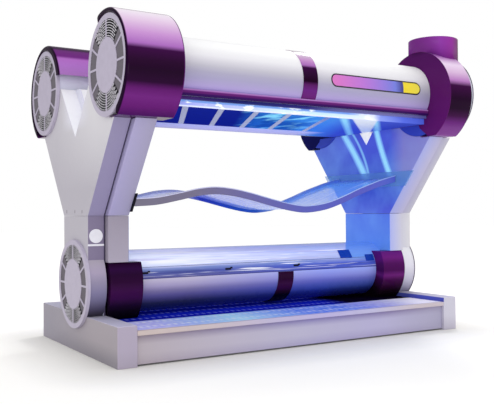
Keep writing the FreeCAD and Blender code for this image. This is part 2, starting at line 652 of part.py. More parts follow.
def make_shroud(name, side, face, hole_radius, hole_y, hole_z):
    """Curved cover around a drum, with a flat lip above the arm and a plate at its inner end."""
    x = (SHROUD_IN[side], SHROUD_OUT[side])
    y = signed(face, "shroud_offset")
    outer = side_rod(name + "_outer", side, "shroud_radius", x, y, "shroud_rise")
    inner = side_rod(name + "_inner", side, "shroud_radius - shroud_wall",
                     ("%s - clearance" % x[0], "%s + clearance" % x[1]), y, "shroud_rise")
    below = side_slab(name + "_below", side, ("%s - clearance" % x[0], "%s + clearance" % x[1]),
                      ("-2 * shroud_offset", "2 * shroud_offset"),
                      ("shroud_rise - shroud_radius - clearance", "shroud_floor"))
    notch_side = side_slab(name + "_notch_side", side,
                           ("%s - clearance" % x[0], "%s + clearance" % x[1]),
                           mirror_y(face, ("0 * seat", "shroud_offset")),
                           ("shroud_rise - shroud_radius - clearance", "shroud_edge"))
    shell = cut(name + "_shell", outer, fuse(name + "_shell_tools", [inner, below, notch_side]))
    chord = "(shroud_offset + sqrt((shroud_radius - shroud_wall / 2) ^ 2 - (shroud_rise - shroud_floor) ^ 2))"
    lip = side_slab(name + "_lip", side, x, mirror_y(face, ("shroud_lip_end", chord)),
                    ("shroud_floor", "shroud_floor + shroud_wall"))
    corners = [("plate_heel", "plate_heel_rise"), ("plate_toe", "shroud_floor"),
               ("shroud_offset + shroud_radius + clearance", "shroud_floor"),
               ("shroud_offset + shroud_radius + clearance", "shroud_rise + shroud_radius + clearance"),
               ("plate_edge / 2", "shroud_rise + shroud_radius + clearance"),
               ("plate_edge / 2", "shroud_edge"), ("plate_edge", "shroud_edge"),
               ("plate_edge", "pan_floor"), ("plate_waist", "pan_floor")]
    sheet_plate = plate(name + "_plate", side, (x[0], "%s + shroud_wall" % x[0]),
                        [(signed(face, across), up) for across, up in corners])
    disc = side_rod(name + "_disc", side, "shroud_radius", (x[0], "%s + shroud_wall" % x[0]), y,
                    "shroud_rise")
    hole = side_rod(name + "_hole", side, hole_radius,
                    ("%s - clearance" % x[0], "%s + shroud_wall + clearance" % x[0]), hole_y, hole_z)
    end = cut(name + "_end", common(name + "_end_blank", [sheet_plate, disc]), hole)
    return fuse(name, [shell, lip, end])


def collar_bore():
    """Air hole under the exhaust collar, through the shroud and the drum."""
    return pillar("collar_bore_%d" % len(doc.Objects), "duct_radius / 2",
                  "collar_place", "-drum_offset", ("drum_rise", "collar_top"))


def make_upper_drums():
    rear_casings = []
    for side, tag in SIDES:
        front_y = signed(FRONT, "drum_offset")
        rear_y = signed(REAR, "drum_offset")
        front = make_casing("front_casing_" + tag, side, CASING_IN[side], "bulkhead",
                            "drum_radius", front_y, "drum_rise", "duct_radius")
        cover = make_shroud("front_cover_" + tag, side, FRONT, "duct_radius", front_y, "drum_rise")
        if side == RIGHT:
            front = cut("front_drum_bored", front, collar_bore())
            cover = cut("front_shroud_bored", cover, collar_bore())
        finish("front_drum_casing_" + tag, front)
        finish("front_shroud_" + tag, cover)
        finish("front_grille_" + tag,
               make_grille("front_grille_" + tag, side, "grille_radius", front_y, "drum_rise"))
        rear_casings.append(make_casing("rear_casing_" + tag, side, CASING_IN[side], "bulkhead",
                                        "drum_radius", rear_y, "drum_rise",
                                        "journal_radius + bearing_wall + seat"))
        finish("rear_shroud_" + tag,
               make_shroud("rear_shroud_" + tag, side, REAR, "journal_radius + 4 * clearance",
                           rear_y, "drum_rise"))
        finish("rear_grille_" + tag,
               make_grille("rear_grille_" + tag, side, "grille_radius", rear_y, "drum_rise"))
    finish("rear_drum_casings", group("rear_drum_casings", rear_casings))


def make_pivot_bearings():
    """Ring bearings in the inner ends of the rear drums."""
    rings = []
    for side, tag in SIDES:
        x = (CASING_IN[side], CASING_IN[side] + " + bulkhead")
        outer = side_rod("bearing_out_" + tag, side, "journal_radius + bearing_wall", x,
                         "drum_offset", "drum_rise")
        inner = side_rod("bearing_in_" + tag, side, "journal_radius + running",
                         (x[0] + " - clearance", x[1] + " + clearance"), "drum_offset", "drum_rise")
        rings.append(cut("bearing_" + tag, outer, inner))
    finish("pivot_bearings", group("pivot_bearings", rings))


# ---- canopy --------------------------------------------------------------------------------
CANOPY_X = ("-(shroud_left_in - seat)", "shroud_right_in - seat")
TRAY_TOP = "(tube_floor - seat)"
TRAY_FRONT = "(trim_front - trim_depth - seat)"
LAMP_X = ("-(shroud_left_in - 3 * seat - tray_sheet - holder_width)",
          "shroud_right_in - 3 * seat - tray_sheet - holder_width")


def tube_shell(name, x, face, outer_radius, inner_radius):
    """Thin curved shell around a canopy tube, cut flat above the lamp tray."""
    y = signed(face, "tube_offset")
    outer = rod(name + "_outer", outer_radius, x, y, "tube_rise")
    inner = rod(name + "_inner", inner_radius,
                ("%s - clearance" % x[0], "%s + clearance" % x[1]), y, "tube_rise")
    below = slab(name + "_below", ("%s - clearance" % x[0], "%s + clearance" % x[1]),
                 mirror_y(face, ("0 * seat", "2 * tube_offset")),
                 ("tube_rise - 2 * tube_radius", "tube_floor"))
    return cut(name, outer, fuse(name + "_tools", [inner, below]))


def make_canopy_tubes():
    finish("front_tube", tube_shell("front_tube", CANOPY_X, FRONT, "tube_radius",
                                    "tube_radius - tube_wall"))
    finish("canopy_band", tube_shell("canopy_band", ("-band_half", "band_half"), FRONT,
                                     "tube_radius + seat + band_wall", "tube_radius + seat"))
    shell = tube_shell("rear_tube_shell", CANOPY_X, REAR, "tube_radius", "tube_radius - tube_wall")
    pieces = [shell]
    bores = []
    for side, tag in SIDES:
        start = "(%s - seat - tube_end_plate)" % SHROUD_IN[side]
        stop = "(%s - seat)" % SHROUD_IN[side]
        disc = side_rod("rear_end_disc_" + tag, side, "tube_radius - tube_wall / 2", (start, stop),
                        "tube_offset", "tube_rise")
        below = side_slab("rear_end_below_" + tag, side, (start + " - clearance", stop + " + clearance"),
                          ("0 * seat", "2 * tube_offset"), ("tube_rise - 2 * tube_radius", "tube_floor"))
        pieces.append(cut("rear_end_" + tag, disc, below))
        reach = CASING_IN[side] + " + bulkhead + journal_tail"
        pieces.append(side_rod("journal_" + tag, side, "journal_radius", (start, reach),
                               "drum_offset", "drum_rise"))
        bores.append(side_rod("journal_bore_" + tag, side, "journal_radius - journal_wall",
                              (start + " - clearance", reach + " + clearance"),
                              "drum_offset", "drum_rise"))
    finish("rear_tube", cut("rear_tube", fuse("rear_tube_blank", pieces), fuse("journal_bores", bores)))


def make_tube_badge():
    """Curved plate on the right half of the front tube."""
    y = signed(FRONT, "tube_offset")
    x = ("badge_start", "badge_end")
    outer = rod("badge_outer", "tube_radius + seat + badge_sheet", x, y, "tube_rise")
    inner = rod("badge_inner", "tube_radius + seat",
                ("badge_start - clearance", "badge_end + clearance"), y, "tube_rise")
    window = slab("badge_window", x, ("-2 * tube_offset", "-tube_offset"), ("badge_low", "badge_high"))
    finish("tube_badge", common("tube_badge", [cut("badge_sleeve", outer, inner), window]))


def make_canopy_trim():
    finish("canopy_trim", slab("canopy_trim", CANOPY_X, ("-trim_front", "-(trim_front - trim_depth)"),
                               ("trim_floor", TRAY_TOP)))


def make_canopy_tray():
    """Lamp tray under both tubes: open underneath, with a flange in front and a rail behind."""
    outer = slab("tray_outer", CANOPY_X, ("-" + TRAY_FRONT, "tray_rear"), ("tray_floor", TRAY_TOP))
    inner = slab("tray_inner", (CANOPY_X[0] + " + tray_sheet", CANOPY_X[1] + " - tray_sheet"),
                 ("-(%s - tray_sheet)" % TRAY_FRONT, "tray_rear - tray_sheet"),
                 ("tray_floor - clearance", TRAY_TOP + " - tray_sheet"))
    flange = slab("tray_flange", CANOPY_X, ("-" + TRAY_FRONT, "-(pan_front - 2 * pan_sheet)"),
                  ("tray_floor", "tray_floor + tray_sheet"))
    rail = slab("tray_rail", CANOPY_X, ("tray_rear - rear_rail", "tray_rear"),
                ("pan_floor", "tray_floor + tray_sheet"))
    finish("canopy_tray", fuse("canopy_tray", [cut("tray_box", outer, inner), flange, rail]))


def make_canopy_acrylic():
    """Clear pan under the lamps, with cross ribs on its floor."""
    rear = "(tray_rear - rear_rail - seat)"
    outer = slab("pan_outer", CANOPY_X, ("-pan_front", rear), ("pan_floor", "tray_floor - seat"))
    inner = slab("pan_inner", (CANOPY_X[0] + " + pan_sheet", CANOPY_X[1] + " - pan_sheet"),
                 ("-(pan_front - pan_sheet)", rear + " - pan_sheet"),
                 ("pan_floor + pan_sheet", "tray_floor + clearance"))
    pieces = [cut("pan_box", outer, inner)]
    count = int(value("rib_count"))
    for index in range(count):
        middle = "(%s + (%s - (%s)) * %d / %d)" % (CANOPY_X[0], CANOPY_X[1], CANOPY_X[0],
                                                  index + 1, count + 1)
        pieces.append(slab("pan_rib_%d" % index, (middle + " - rib_width / 2", middle + " + rib_width / 2"),
                           ("-(pan_front - pan_sheet / 2)", rear + " - pan_sheet / 2"),
                           ("pan_floor + pan_sheet / 2", "pan_floor + 3 * pan_sheet")))
    finish("canopy_acrylic", fuse("canopy_acrylic", pieces))


def lamp(name, x, y, z):
    """Glass tube along X."""
    glass = rod(name + "_glass", "lamp_radius", x, y, z)
    bore = rod(name + "_bore", "lamp_radius - lamp_wall",
               ("%s - clearance" % x[0], "%s + clearance" % x[1]), y, z)
    return cut(name, glass, bore)


def make_canopy_lamps():
    lamps = []
    for index in range(int(value("lamp_count"))):
        lamps.append(lamp("canopy_lamp_%02d" % index, LAMP_X,
                          "-lamp_first + %d * lamp_pitch" % index, "lamp_rise"))
    finish("canopy_lamps", group("canopy_lamps", lamps))
    strips = []
    top = TRAY_TOP + " - tray_sheet - seat"
    for tag, x in (("left", (LAMP_X[0] + " - seat - holder_width", LAMP_X[0] + " - seat")),
                   ("right", (LAMP_X[1] + " + seat", LAMP_X[1] + " + seat + holder_width"))):
        strips.append(slab("canopy_holder_" + tag, x,
                           ("-(lamp_first + 1.5 * lamp_radius)",
                            "-lamp_first + (lamp_count - 1) * lamp_pitch + 1.2 * lamp_radius"),
                           ("lamp_rise - 1.2 * lamp_radius", top)))
    finish("canopy_lampholders", group("canopy_lampholders", strips))


def make_exhaust_collar():
    """Upright duct collar like a saddle on the right front drum, with a shoulder under its spigot."""
    spigot = pillar("collar_spigot", "collar_radius", "collar_place", "-drum_offset",
                    ("collar_floor", "collar_top"))
    skirt = pillar("collar_skirt", "collar_radius + collar_step", "collar_place", "-drum_offset",
                   ("collar_floor", "collar_top - spigot_length"))
    outer = fuse("collar_outer", [spigot, skirt])
    inner = pillar("collar_inner", "collar_radius - collar_wall", "collar_place", "-drum_offset",
                   ("collar_floor - clearance", "collar_top + clearance"))
    shroud = rod("collar_shroud", "shroud_radius + seat", ("0 * seat", "shroud_right_out + seat"),
                 "-shroud_offset", "shroud_rise")
    casing = rod("collar_casing", "drum_radius + seat", ("0 * seat", "drum_end + seat"),
                 "-drum_offset", "drum_rise")
    disc = rod("collar_disc", "grille_radius + seat",
               ("drum_end", "drum_end + 2 * seat + grille_right_depth"), "-drum_offset", "drum_rise")
    finish("exhaust_collar", cut("exhaust_collar", outer,
                                 fuse("collar_tools", [inner, shroud, casing, disc])))


# ---- lower lamp tube -----------------------------------------------------------------------
SHELL_END = "(%s - upright_size - seat)" % FRAME_END
LOWER_LAMP_END = "(%s - 2 * duct_radius / 2)" % SHELL_END
HOLDER_IN = "(%s + seat)" % LOWER_LAMP_END
HOLDER_OUT = "(%s + holder_width)" % HOLDER_IN


def clipped_pipe(name, x, outer_radius, inner_radius, z):
    """Pipe along X around the lower tube axis, kept between two heights."""
    outer = rod(name + "_outer", outer_radius, x, "0 * seat", "lower_rise")
    inner = rod(name + "_inner", inner_radius,
                ("%s - clearance" % x[0], "%s + clearance" % x[1]), "0 * seat", "lower_rise")
    keep = slab(name + "_keep", x, ("-2 * lower_tube_radius", "2 * lower_tube_radius"), z)
    return common(name, [cut(name + "_pipe", outer, inner), keep])


def make_lower_tube():
    """White trough, clear cover, band, reflector, lamps and their holders."""
    x = ("-" + SHELL_END, SHELL_END)
    pieces = [clipped_pipe("lower_trough", x, "lower_tube_radius", "lower_tube_radius - lower_tube_wall",
                           ("lower_rise - 1.5 * lower_tube_radius", "shell_edge_rise"))]
    for side, tag in SIDES:
        end = (SHELL_END + " - lower_tube_wall", SHELL_END)
        disc = side_rod("trough_end_" + tag, side, "lower_tube_radius - lower_tube_wall - seat", end,
                        "0 * seat", "lower_rise")
        foot = side_slab("trough_foot_" + tag, side, end, ("-upright_size", "upright_size"),
                         ("lower_rise - lower_tube_radius + lower_tube_wall / 2",
                          "lower_rise - lower_tube_radius / 2 - upright_size / 2"))
        bore = side_rod("trough_bore_" + tag, side, "duct_radius * 0.8",
                        (end[0] + " - clearance", end[1] + " + clearance"), "0 * seat", "lower_rise")
        pieces.append(cut("trough_wall_" + tag, fuse("trough_disc_" + tag, [disc, foot]), bore))
    finish("lower_shell", fuse("lower_shell", pieces))
    finish("lower_acrylic", clipped_pipe("lower_acrylic", x, "lower_tube_radius",
                                         "lower_tube_radius - lower_tube_wall",
                                         ("shell_edge_rise + seat", "lower_rise + 1.5 * lower_tube_radius")))
    band_x = ("lower_band_start", "lower_band_end")
    finish("lower_band", clipped_pipe("lower_band", band_x, "lower_tube_radius + seat + lower_band_wall",
                                      "lower_tube_radius + seat",
                                      ("lower_rise - 1.5 * lower_tube_radius", "shell_edge_rise")))
    finish("lower_reflector", clipped_pipe("lower_reflector", ("-" + HOLDER_OUT, HOLDER_OUT),
                                           "reflector_radius + reflector_sheet", "reflector_radius",
                                           ("lower_rise", "lower_rise + 1.5 * lower_tube_radius")))
    lamps = []
    count = int(value("lower_lamp_count"))
    for index in range(count):
        turn = "((%d) * lower_lamp_step)" % (2 * index - count + 1)
        lamps.append(lamp("lower_lamp_%02d" % index, ("-" + LOWER_LAMP_END, LOWER_LAMP_END),
                          "lower_lamp_ring * sin(%s / 2 * 1 deg)" % turn,
                          "lower_rise + lower_lamp_ring * cos(%s / 2 * 1 deg)" % turn))
    finish("lower_lamps", group("lower_lamps", lamps))
    holders = []
    for side, tag in SIDES:
        outer = side_rod("lower_holder_out_" + tag, side, "lower_tube_radius - lower_tube_wall - seat",
                         (HOLDER_IN, HOLDER_OUT), "0 * seat", "lower_rise")
        inner = side_rod("lower_holder_in_" + tag, side, "reflector_radius + reflector_sheet + seat",
                         (HOLDER_IN + " - clearance", HOLDER_OUT + " + clearance"), "0 * seat",
                         "lower_rise")
        holders.append(cut("lower_holder_" + tag, outer, inner))
    finish("lower_lampholders", group("lower_lampholders", holders))


def make_lower_ends():
    """Ring shrouds on the deck inside the posts, and the drums and grilles outside them."""
    casings = []
    grilles = []
    for side, tag in SIDES:
        name = "lower_ring_" + tag
        x = ("lower_ring_in", FRAME_END)
        half = ("-lower_ring_radius - clearance", "lower_ring_radius + clearance")
        outer = side_rod(name + "_outer", side, "lower_ring_radius", x, "0 * seat", "lower_rise")
        keep = side_slab(name + "_keep", side, x, half, ("deck_rise + seat", "lower_ring_top - seat"))
        inside_x = ("lower_ring_in + lower_ring_wall", FRAME_END + " + clearance")
        inner = side_rod(name + "_inner", side, "lower_ring_radius - lower_ring_wall", inside_x,
                         "0 * seat", "lower_rise")
        hollow_keep = side_slab(name + "_hollow", side, inside_x, half,
                                ("deck_rise - clearance", "lower_ring_top - seat - lower_ring_wall"))
        tools = [common(name + "_core", [inner, hollow_keep]),
                 side_rod(name + "_mouth", side, "lower_tube_radius + 2 * clearance",
                          ("lower_ring_in - clearance", FRAME_END + " + clearance"),
                          "0 * seat", "lower_rise")]
        for face in (FRONT, REAR):
            tools.append(side_slab("%s_slot_%d" % (name, face + 1), side,
                                   (FRAME_END + " - upright_size - clearance", FRAME_END + " + clearance"),
                                   upright_limits(face, "clearance"),
                                   ("lower_ring_top - 3 * lower_ring_wall", "lower_ring_top + clearance")))
        finish("lower_shroud_" + tag,
               cut("lower_shroud_" + tag, common(name + "_blank", [outer, keep]),
                   fuse(name + "_tools", tools)))
        casings.append(make_casing("lower_casing_" + tag, side, "(groove_outer + seat)", "drum_wall",
                                   "lower_drum_radius", "0 * seat", "lower_rise", "duct_radius"))
        grilles.append(make_grille("lower_grille_" + tag, side, "lower_grille_radius", "0 * seat",
                                   "lower_rise"))
    finish("lower_drum_casings", group("lower_drum_casings", casings))
    finish("lower_grilles", group("lower_grilles", grilles))


# ---- bench ---------------------------------------------------------------------------------
def wave_points(rise):
    """Places along the bench that its wavy line passes through, at a height above that line."""
    end = value("bench_end - seat")
    places = [(-end, "bench_left_rise"), (-value("bench_head_place"), "bench_head_rise"),
              (value("bench_seat_place"), "bench_seat_rise"), (end, "bench_right_rise")]
    return [Vector(x, 0, value(level) + rise) for x, level in places]


def wave_edge(rise):
    """Smooth line through those places, level at its left end and climbing at its right end."""
    line = Part.BSplineCurve()
    line.interpolate(Points=wave_points(rise), InitialTangent=Vector(1, 0, 0),
                     FinalTangent=Vector(value("bench_end_run"), 0, value("bench_end_climb")))
    return line.toShape()


def wave_slab(low, high, y_low, y_high):
    """Solid between two heights above the wavy line and two Y limits."""
    bottom = wave_edge(low)
    top = wave_edge(high)
    right = Part.makeLine(bottom.Vertexes[-1].Point, top.Vertexes[-1].Point)
    left = Part.makeLine(top.Vertexes[0].Point, bottom.Vertexes[0].Point)
    face = Part.Face(Part.Wire(Part.__sortEdges__([bottom, right, top, left])))
    face.translate(Vector(0, y_low, 0))
    return face.extrude(Vector(0, y_high - y_low, 0))


def make_bench():
    """Clear wavy sheet held between two wavy edge rails."""
    half = value("bench_half_width")
    width = value("bench_rail_width")
    tall = value("bench_rail_height") / 2
    seat = value("seat")
    rails = doc.addObject("Part::Feature", "bench_rails")
    rails.Shape = Part.makeCompound([wave_slab(-tall, tall, -half, -half + width),
                                     wave_slab(-tall, tall, half - width, half)])
    rails.Placement = FreeCAD.Placement(Vector(0, 0, 0), Rotation())
    finish("bench_rails", rails)
    sheet_part = doc.addObject("Part::Feature", "bench_sheet")
    sheet_part.Shape = wave_slab(0, value("bench_sheet_height"), -half + width + seat, half - width - seat)
    sheet_part.Placement = FreeCAD.Placement(Vector(0, 0, 0), Rotation())
    finish("bench_sheet", sheet_part)


def make_bench_brackets():
    """Plates on the posts, each with a ledge under the end of the bench sheet."""
    brackets = []
    outer_x = "(post_inner - seat)"
    inner_x = "(post_inner - seat - bracket_plate)"
    for side, tag, rise in ((LEFT, "left", "bench_left_rise"), (RIGHT, "right", "bench_right_rise")):
        low = "(%s - bracket_drop)" % rise
        high = "(%s + bracket_drop)" % rise
        wide_low = "(column_half + bracket_over + arm_slope * (%s - bend_rise))" % low
        wide_high = "(column_half + bracket_over + arm_slope * (%s - bend_rise))" % high
        corners = [("-" + wide_low, low), (wide_low, low), (wide_high, high), ("-" + wide_high, high)]
        pieces = [plate("bracket_plate_" + tag, side, (inner_x, outer_x), corners),
                  side_slab("bracket_ledge_" + tag, side,
                            (inner_x + " - bracket_ledge", inner_x + " + clearance"),
                            ("-column_half", "column_half"),
                            ("%s - ledge_drop - ledge_height" % rise, "%s - ledge_drop" % rise))]
        brackets.append(fuse("bracket_" + tag, pieces))
    finish("bench_bracket_left", brackets[0])
    finish("bench_bracket_right", brackets[1])


def make_post_badge():
    """Plain disc and bar on the front of the left post."""
    face = "-(column_half - outer_setback)"
    disc = doc.addObject("Part::Cylinder", "emblem_disc")
    disc.Placement = FreeCAD.Placement(Vector(), Rotation(Vector(1, 0, 0), 90))
    bind(disc, "Radius", "emblem_radius")
    bind(disc, "Height", "emblem_sheet")
    place(disc, "-emblem_place", face, "emblem_rise")
    bar = slab("emblem_bar", ("-emblem_place - bar_length / 2", "-emblem_place + bar_length / 2"),
               (face + " - emblem_sheet / 2", face),
               ("bar_rise - bar_height / 2", "bar_rise + bar_height / 2"))
    finish("post_badge", group("post_badge", [disc, bar]))


# ---- fans ----------------------------------------------------------------------------------
FANS = []
for fan_side, fan_tag in SIDES:
    FANS.append(("front_fan_rotor_" + fan_tag, fan_side, "-drum_offset", "drum_rise", "drum_radius"))
    FANS.append(("rear_fan_rotor_" + fan_tag, fan_side, "drum_offset", "drum_rise", "drum_radius"))
    FANS.append(("lower_fan_rotor_" + fan_tag, fan_side, "0 * seat", "lower_rise", "lower_drum_radius"))


def make_rotor(name, side, y, z):
    """Fan wheel: bored hub and leaning blades around the shaft."""
    body = doc.addObject("PartDesign::Body", name)
    hub_sketch = body.newObject("Sketcher::SketchObject", name + "_hub_outline")
    hub_sketch.AttachmentSupport = [(origin_plane(body, "YZ_Plane"), "")]
    hub_sketch.MapMode = "FlatFace"
    for index, radius in enumerate(("rotor_hub", "motor_shaft + running")):
        hub_sketch.addGeometry(Part.Circle(Vector(), Vector(0, 0, 1), value(radius)))
        hub_sketch.addConstraint(Sketcher.Constraint("Coincident", index, 3, -1, 1))
        constraint = hub_sketch.addConstraint(Sketcher.Constraint("Radius", index, value(radius)))
        bind(hub_sketch, "Constraints[%d]" % constraint, radius)
    hub = body.newObject("PartDesign::Pad", name + "_hub")
    hub.Profile = hub_sketch
    bind(hub, "Length", "rotor_width")
    blade_sketch = outline(body, name + "_blade_outline", "XY_Plane", "rotor_hub * 0.9",
                           [("0.02 * rotor_width", "-blade_lean"),
                            ("0.02 * rotor_width + blade_sheet", "-blade_lean"),
                            ("0.98 * rotor_width", "blade_lean"),
                            ("0.98 * rotor_width - blade_sheet", "blade_lean")])
    blade = body.newObject("PartDesign::Pad", name + "_blade")
    blade.Profile = blade_sketch
    bind(blade, "Length", "rotor_radius - rotor_hub * 0.9")
    doc.recompute()
    blades = body.newObject("PartDesign::PolarPattern", name + "_blades")
    blades.Originals = [blade]
    blades.Axis = (origin_plane(body, "X_Axis"), [""])
    blades.Angle = 360
    blades.Occurrences = int(value("blade_count"))
    body.Tip = blades
    low = "rotor_start" if side == RIGHT else "-(rotor_start + rotor_width)"
    place(body, low, y, z)
    finish(name, body)


def make_motor(name, side, y, z, drum):
    """Motor can with its shaft, on a bar across the drum."""
    stop = "(motor_start + motor_length)"
    can = side_rod(name + "_can", side, "motor_radius", ("motor_start", stop), y, z)
    shaft = side_rod(name + "_shaft", side, "motor_shaft",
                     (stop + " - clearance", "rotor_start + rotor_width"), y, z)
    reach = "sqrt((%s - drum_wall - seat) ^ 2 - (cross_bar_width / 2) ^ 2)" % drum
    bar = side_slab(name + "_bar", side, ("motor_start", "motor_start + cross_bar_sheet"),
                    ("%s - %s" % (y, reach), "%s + %s" % (y, reach)),
                    ("%s - cross_bar_width / 2" % z, "%s + cross_bar_width / 2" % z))
    return fuse(name, [can, shaft, bar])


def make_fans():
    stand_motors = []
    canopy_motors = []
    for name, side, y, z, drum in FANS:
        make_rotor(name, side, y, z)
        motor = make_motor(name.replace("rotor", "motor"), side, y, z, drum)
        motors = canopy_motors if name.startswith("front") else stand_motors
        motors.append(motor)
    finish("stand_fan_motors", group("stand_fan_motors", stand_motors))
    finish("canopy_fan_motors", group("canopy_fan_motors", canopy_motors))


make_upper_drums()
make_pivot_bearings()
make_canopy_tubes()
make_tube_badge()
make_canopy_trim()
make_canopy_tray()
make_canopy_acrylic()
make_canopy_lamps()
make_exhaust_collar()
make_lower_tube()
make_lower_ends()
make_bench()
make_bench_brackets()
make_post_badge()
make_fans()

doc.recompute()
for thing in doc.Objects:
    if "Invalid" in thing.State or "Error" in thing.State:
        raise RuntimeError("%s failed: %s" % (thing.Name, thing.State))
for thing in subparts:
    if thing.Shape.isNull() or not thing.Shape.isValid():
        raise RuntimeError("%s has no valid shape" % thing.Label)

os.makedirs("parts", exist_ok=True)
for thing in subparts:
    thing.Shape.exportStep("parts/%s.step" % thing.Label)
    solids = len(thing.Shape.Solids)
    print("%-24s solids %2d volume %.1f cm3" % (thing.Label, solids, thing.Shape.Volume / 1000))
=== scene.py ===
"""Clamshell tanning bed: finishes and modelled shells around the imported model, in metres.

Every shell is a surface worked out on a grid of two parameters, or an outline carried along X.
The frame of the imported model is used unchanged: -Y is the front, +Z is up, the floor is Z = 0.
"""
import math
import bpy
import numpy as np
from mathutils import Matrix, Vector


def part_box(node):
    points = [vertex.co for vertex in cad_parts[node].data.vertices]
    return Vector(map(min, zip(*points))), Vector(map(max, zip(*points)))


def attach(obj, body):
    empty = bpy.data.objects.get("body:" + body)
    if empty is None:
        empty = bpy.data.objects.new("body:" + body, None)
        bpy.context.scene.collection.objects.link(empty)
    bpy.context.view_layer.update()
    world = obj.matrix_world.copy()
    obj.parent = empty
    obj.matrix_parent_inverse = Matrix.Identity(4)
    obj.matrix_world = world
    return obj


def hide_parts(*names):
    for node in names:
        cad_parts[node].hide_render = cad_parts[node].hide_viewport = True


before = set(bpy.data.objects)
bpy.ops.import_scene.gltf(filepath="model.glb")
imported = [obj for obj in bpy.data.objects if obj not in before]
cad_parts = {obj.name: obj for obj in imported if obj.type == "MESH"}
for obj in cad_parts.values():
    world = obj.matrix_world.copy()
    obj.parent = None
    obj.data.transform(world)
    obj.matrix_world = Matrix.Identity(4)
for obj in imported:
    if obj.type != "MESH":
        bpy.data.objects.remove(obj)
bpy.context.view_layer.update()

LEFT, RIGHT = -1, 1
FRONT, REAR = -1, 1
SIDES = ((LEFT, "left"), (RIGHT, "right"))
TURN = 2 * math.pi

# Axes and radii of the round parts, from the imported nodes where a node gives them.
DRUM_Y = abs(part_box("front_grille_left")[0][1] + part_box("front_grille_left")[1][1]) / 2
DRUM_Z = (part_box("front_grille_left")[0][2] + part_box("front_grille_left")[1][2]) / 2
DRUM_R = 0.283
GRILLE_R = 0.287
SHROUD_Y, SHROUD_Z, SHROUD_R = 0.560, 1.660, 0.334
SHROUD_FLOOR, SHROUD_EDGE, SHROUD_LIP = 1.381, 1.7535, 0.600
TUBE_Y, TUBE_Z, TUBE_R, TUBE_FLOOR = 0.480, 1.682, 0.222, 1.566
LOWER_Z, LOWER_TUBE_R, LOWER_RING_R = 0.415, 0.200, 0.2875
LOWER_DRUM_R, LOWER_GRILLE_R = 0.268, 0.2727
SHELL_EDGE = 0.436
CANOPY_LOW, CANOPY_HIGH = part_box("front_tube")[0][0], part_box("front_tube")[1][0]
DECK_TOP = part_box("deck_plate")[1][2]
BEAM_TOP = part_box("end_beam_left")[1][2]
HALF_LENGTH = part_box("end_beam_right")[1][0]
BEAM_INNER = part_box("end_beam_right")[0][0]
HALF_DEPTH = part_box("end_beam_right")[1][1]
POST_INNER, GROOVE_INNER = (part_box("post_inner_cover_right")[end][0] for end in (0, 1))
GROOVE_OUTER, POST_OUTER = (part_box("post_outer_cover_right")[end][0] for end in (0, 1))
SHROUD_IN = {side: abs(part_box("front_shroud_" + tag)[0 if side == RIGHT else 1][0]) for side, tag in SIDES}
SHROUD_OUT = {side: abs(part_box("front_shroud_" + tag)[1 if side == RIGHT else 0][0]) for side, tag in SIDES}
PAN_FRONT = -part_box("canopy_acrylic")[0][1]


# ---- meshes --------------------------------------------------------------------------------
def piece(name, vertices, faces, material, body, node=None, smooth=True, slot=None):
    """Mesh object at the origin that rides on a body and may stand for one or more CAD nodes."""
    mesh = bpy.data.meshes.new(name)
    mesh.from_pydata([tuple(v) for v in np.asarray(vertices, float).reshape(-1, 3)], [], faces)
    mesh.validate()
    mesh.polygons.foreach_set("use_smooth", [smooth] * len(mesh.polygons))
    mesh.materials.append(material)
    thing = bpy.data.objects.new(name, mesh)
    bpy.context.scene.collection.objects.link(thing)
    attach(thing, body)
    if node:
        nodes = [node] if isinstance(node, str) else list(node)
        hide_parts(*nodes)
    return thing


def grid_faces(rows, columns, wrap_rows=False, wrap_columns=False, start=0):
    """Quads of a rows by columns grid of vertices, joined round where asked."""
    row = np.arange(rows if wrap_rows else rows - 1)
    column = np.arange(columns if wrap_columns else columns - 1)
    r, c = np.meshgrid(row, column, indexing="ij")
    r2, c2 = (r + 1) % rows, (c + 1) % columns
    quads = np.stack([r * columns + c, r2 * columns + c, r2 * columns + c2, r * columns + c2], -1)
    return (quads.reshape(-1, 4) + start).tolist()


def joined(parts):
    """Vertices and faces of several (vertices, faces) pairs, numbered on."""
    vertices, faces, count = [], [], 0
    for points, quads in parts:
        points = np.asarray(points, float).reshape(-1, 3)
        vertices.append(points)
        faces += [[index + count for index in quad] for quad in quads]
        count += len(points)
    return np.concatenate(vertices), faces


def swept_arc(profile, centre_y, centre_z, start, stop, steps, closed=True):
    """A closed (x, radius) profile carried round an X axis from one angle to another.

    Point = (x, centre_y + radius * cos(angle), centre_z + radius * sin(angle)).
    """
    angles = np.linspace(start, stop, steps)
    x, r = np.asarray(profile, float).T
    a = angles[:, None]
    points = np.stack(np.broadcast_arrays(x[None, :], centre_y + r * np.cos(a), centre_z + r * np.sin(a)), -1)
    full = abs(abs(stop - start) - TURN) < 1e-6
    if full:
        points = points[:-1]
    rows, columns = points.shape[:2]
    faces = grid_faces(rows, columns, wrap_rows=full, wrap_columns=closed)
    if not full and closed:
        faces.append(list(range(columns - 1, -1, -1)))
        faces.append([(rows - 1) * columns + k for k in range(columns)])
    return points.reshape(-1, 3), faces


def swept_outline(outline, x_low, x_high):
    """A closed (y, z) outline carried along X as a solid with flat ends."""
    outline = np.asarray(outline, float)
    count = len(outline)
    ends = [np.column_stack([np.full(count, x), outline]) for x in (x_low, x_high)]
    faces = [[k, (k + 1) % count, count + (k + 1) % count, count + k] for k in range(count)]
    faces.append(list(range(count - 1, -1, -1)))
    faces.append(list(range(count, 2 * count)))
    return np.concatenate(ends), faces


def box_solid(low, high):
    """Plain box between two corners."""
    outline = [(low[1], low[2]), (high[1], low[2]), (high[1], high[2]), (low[1], high[2])]
    return swept_outline(outline, low[0], high[0])


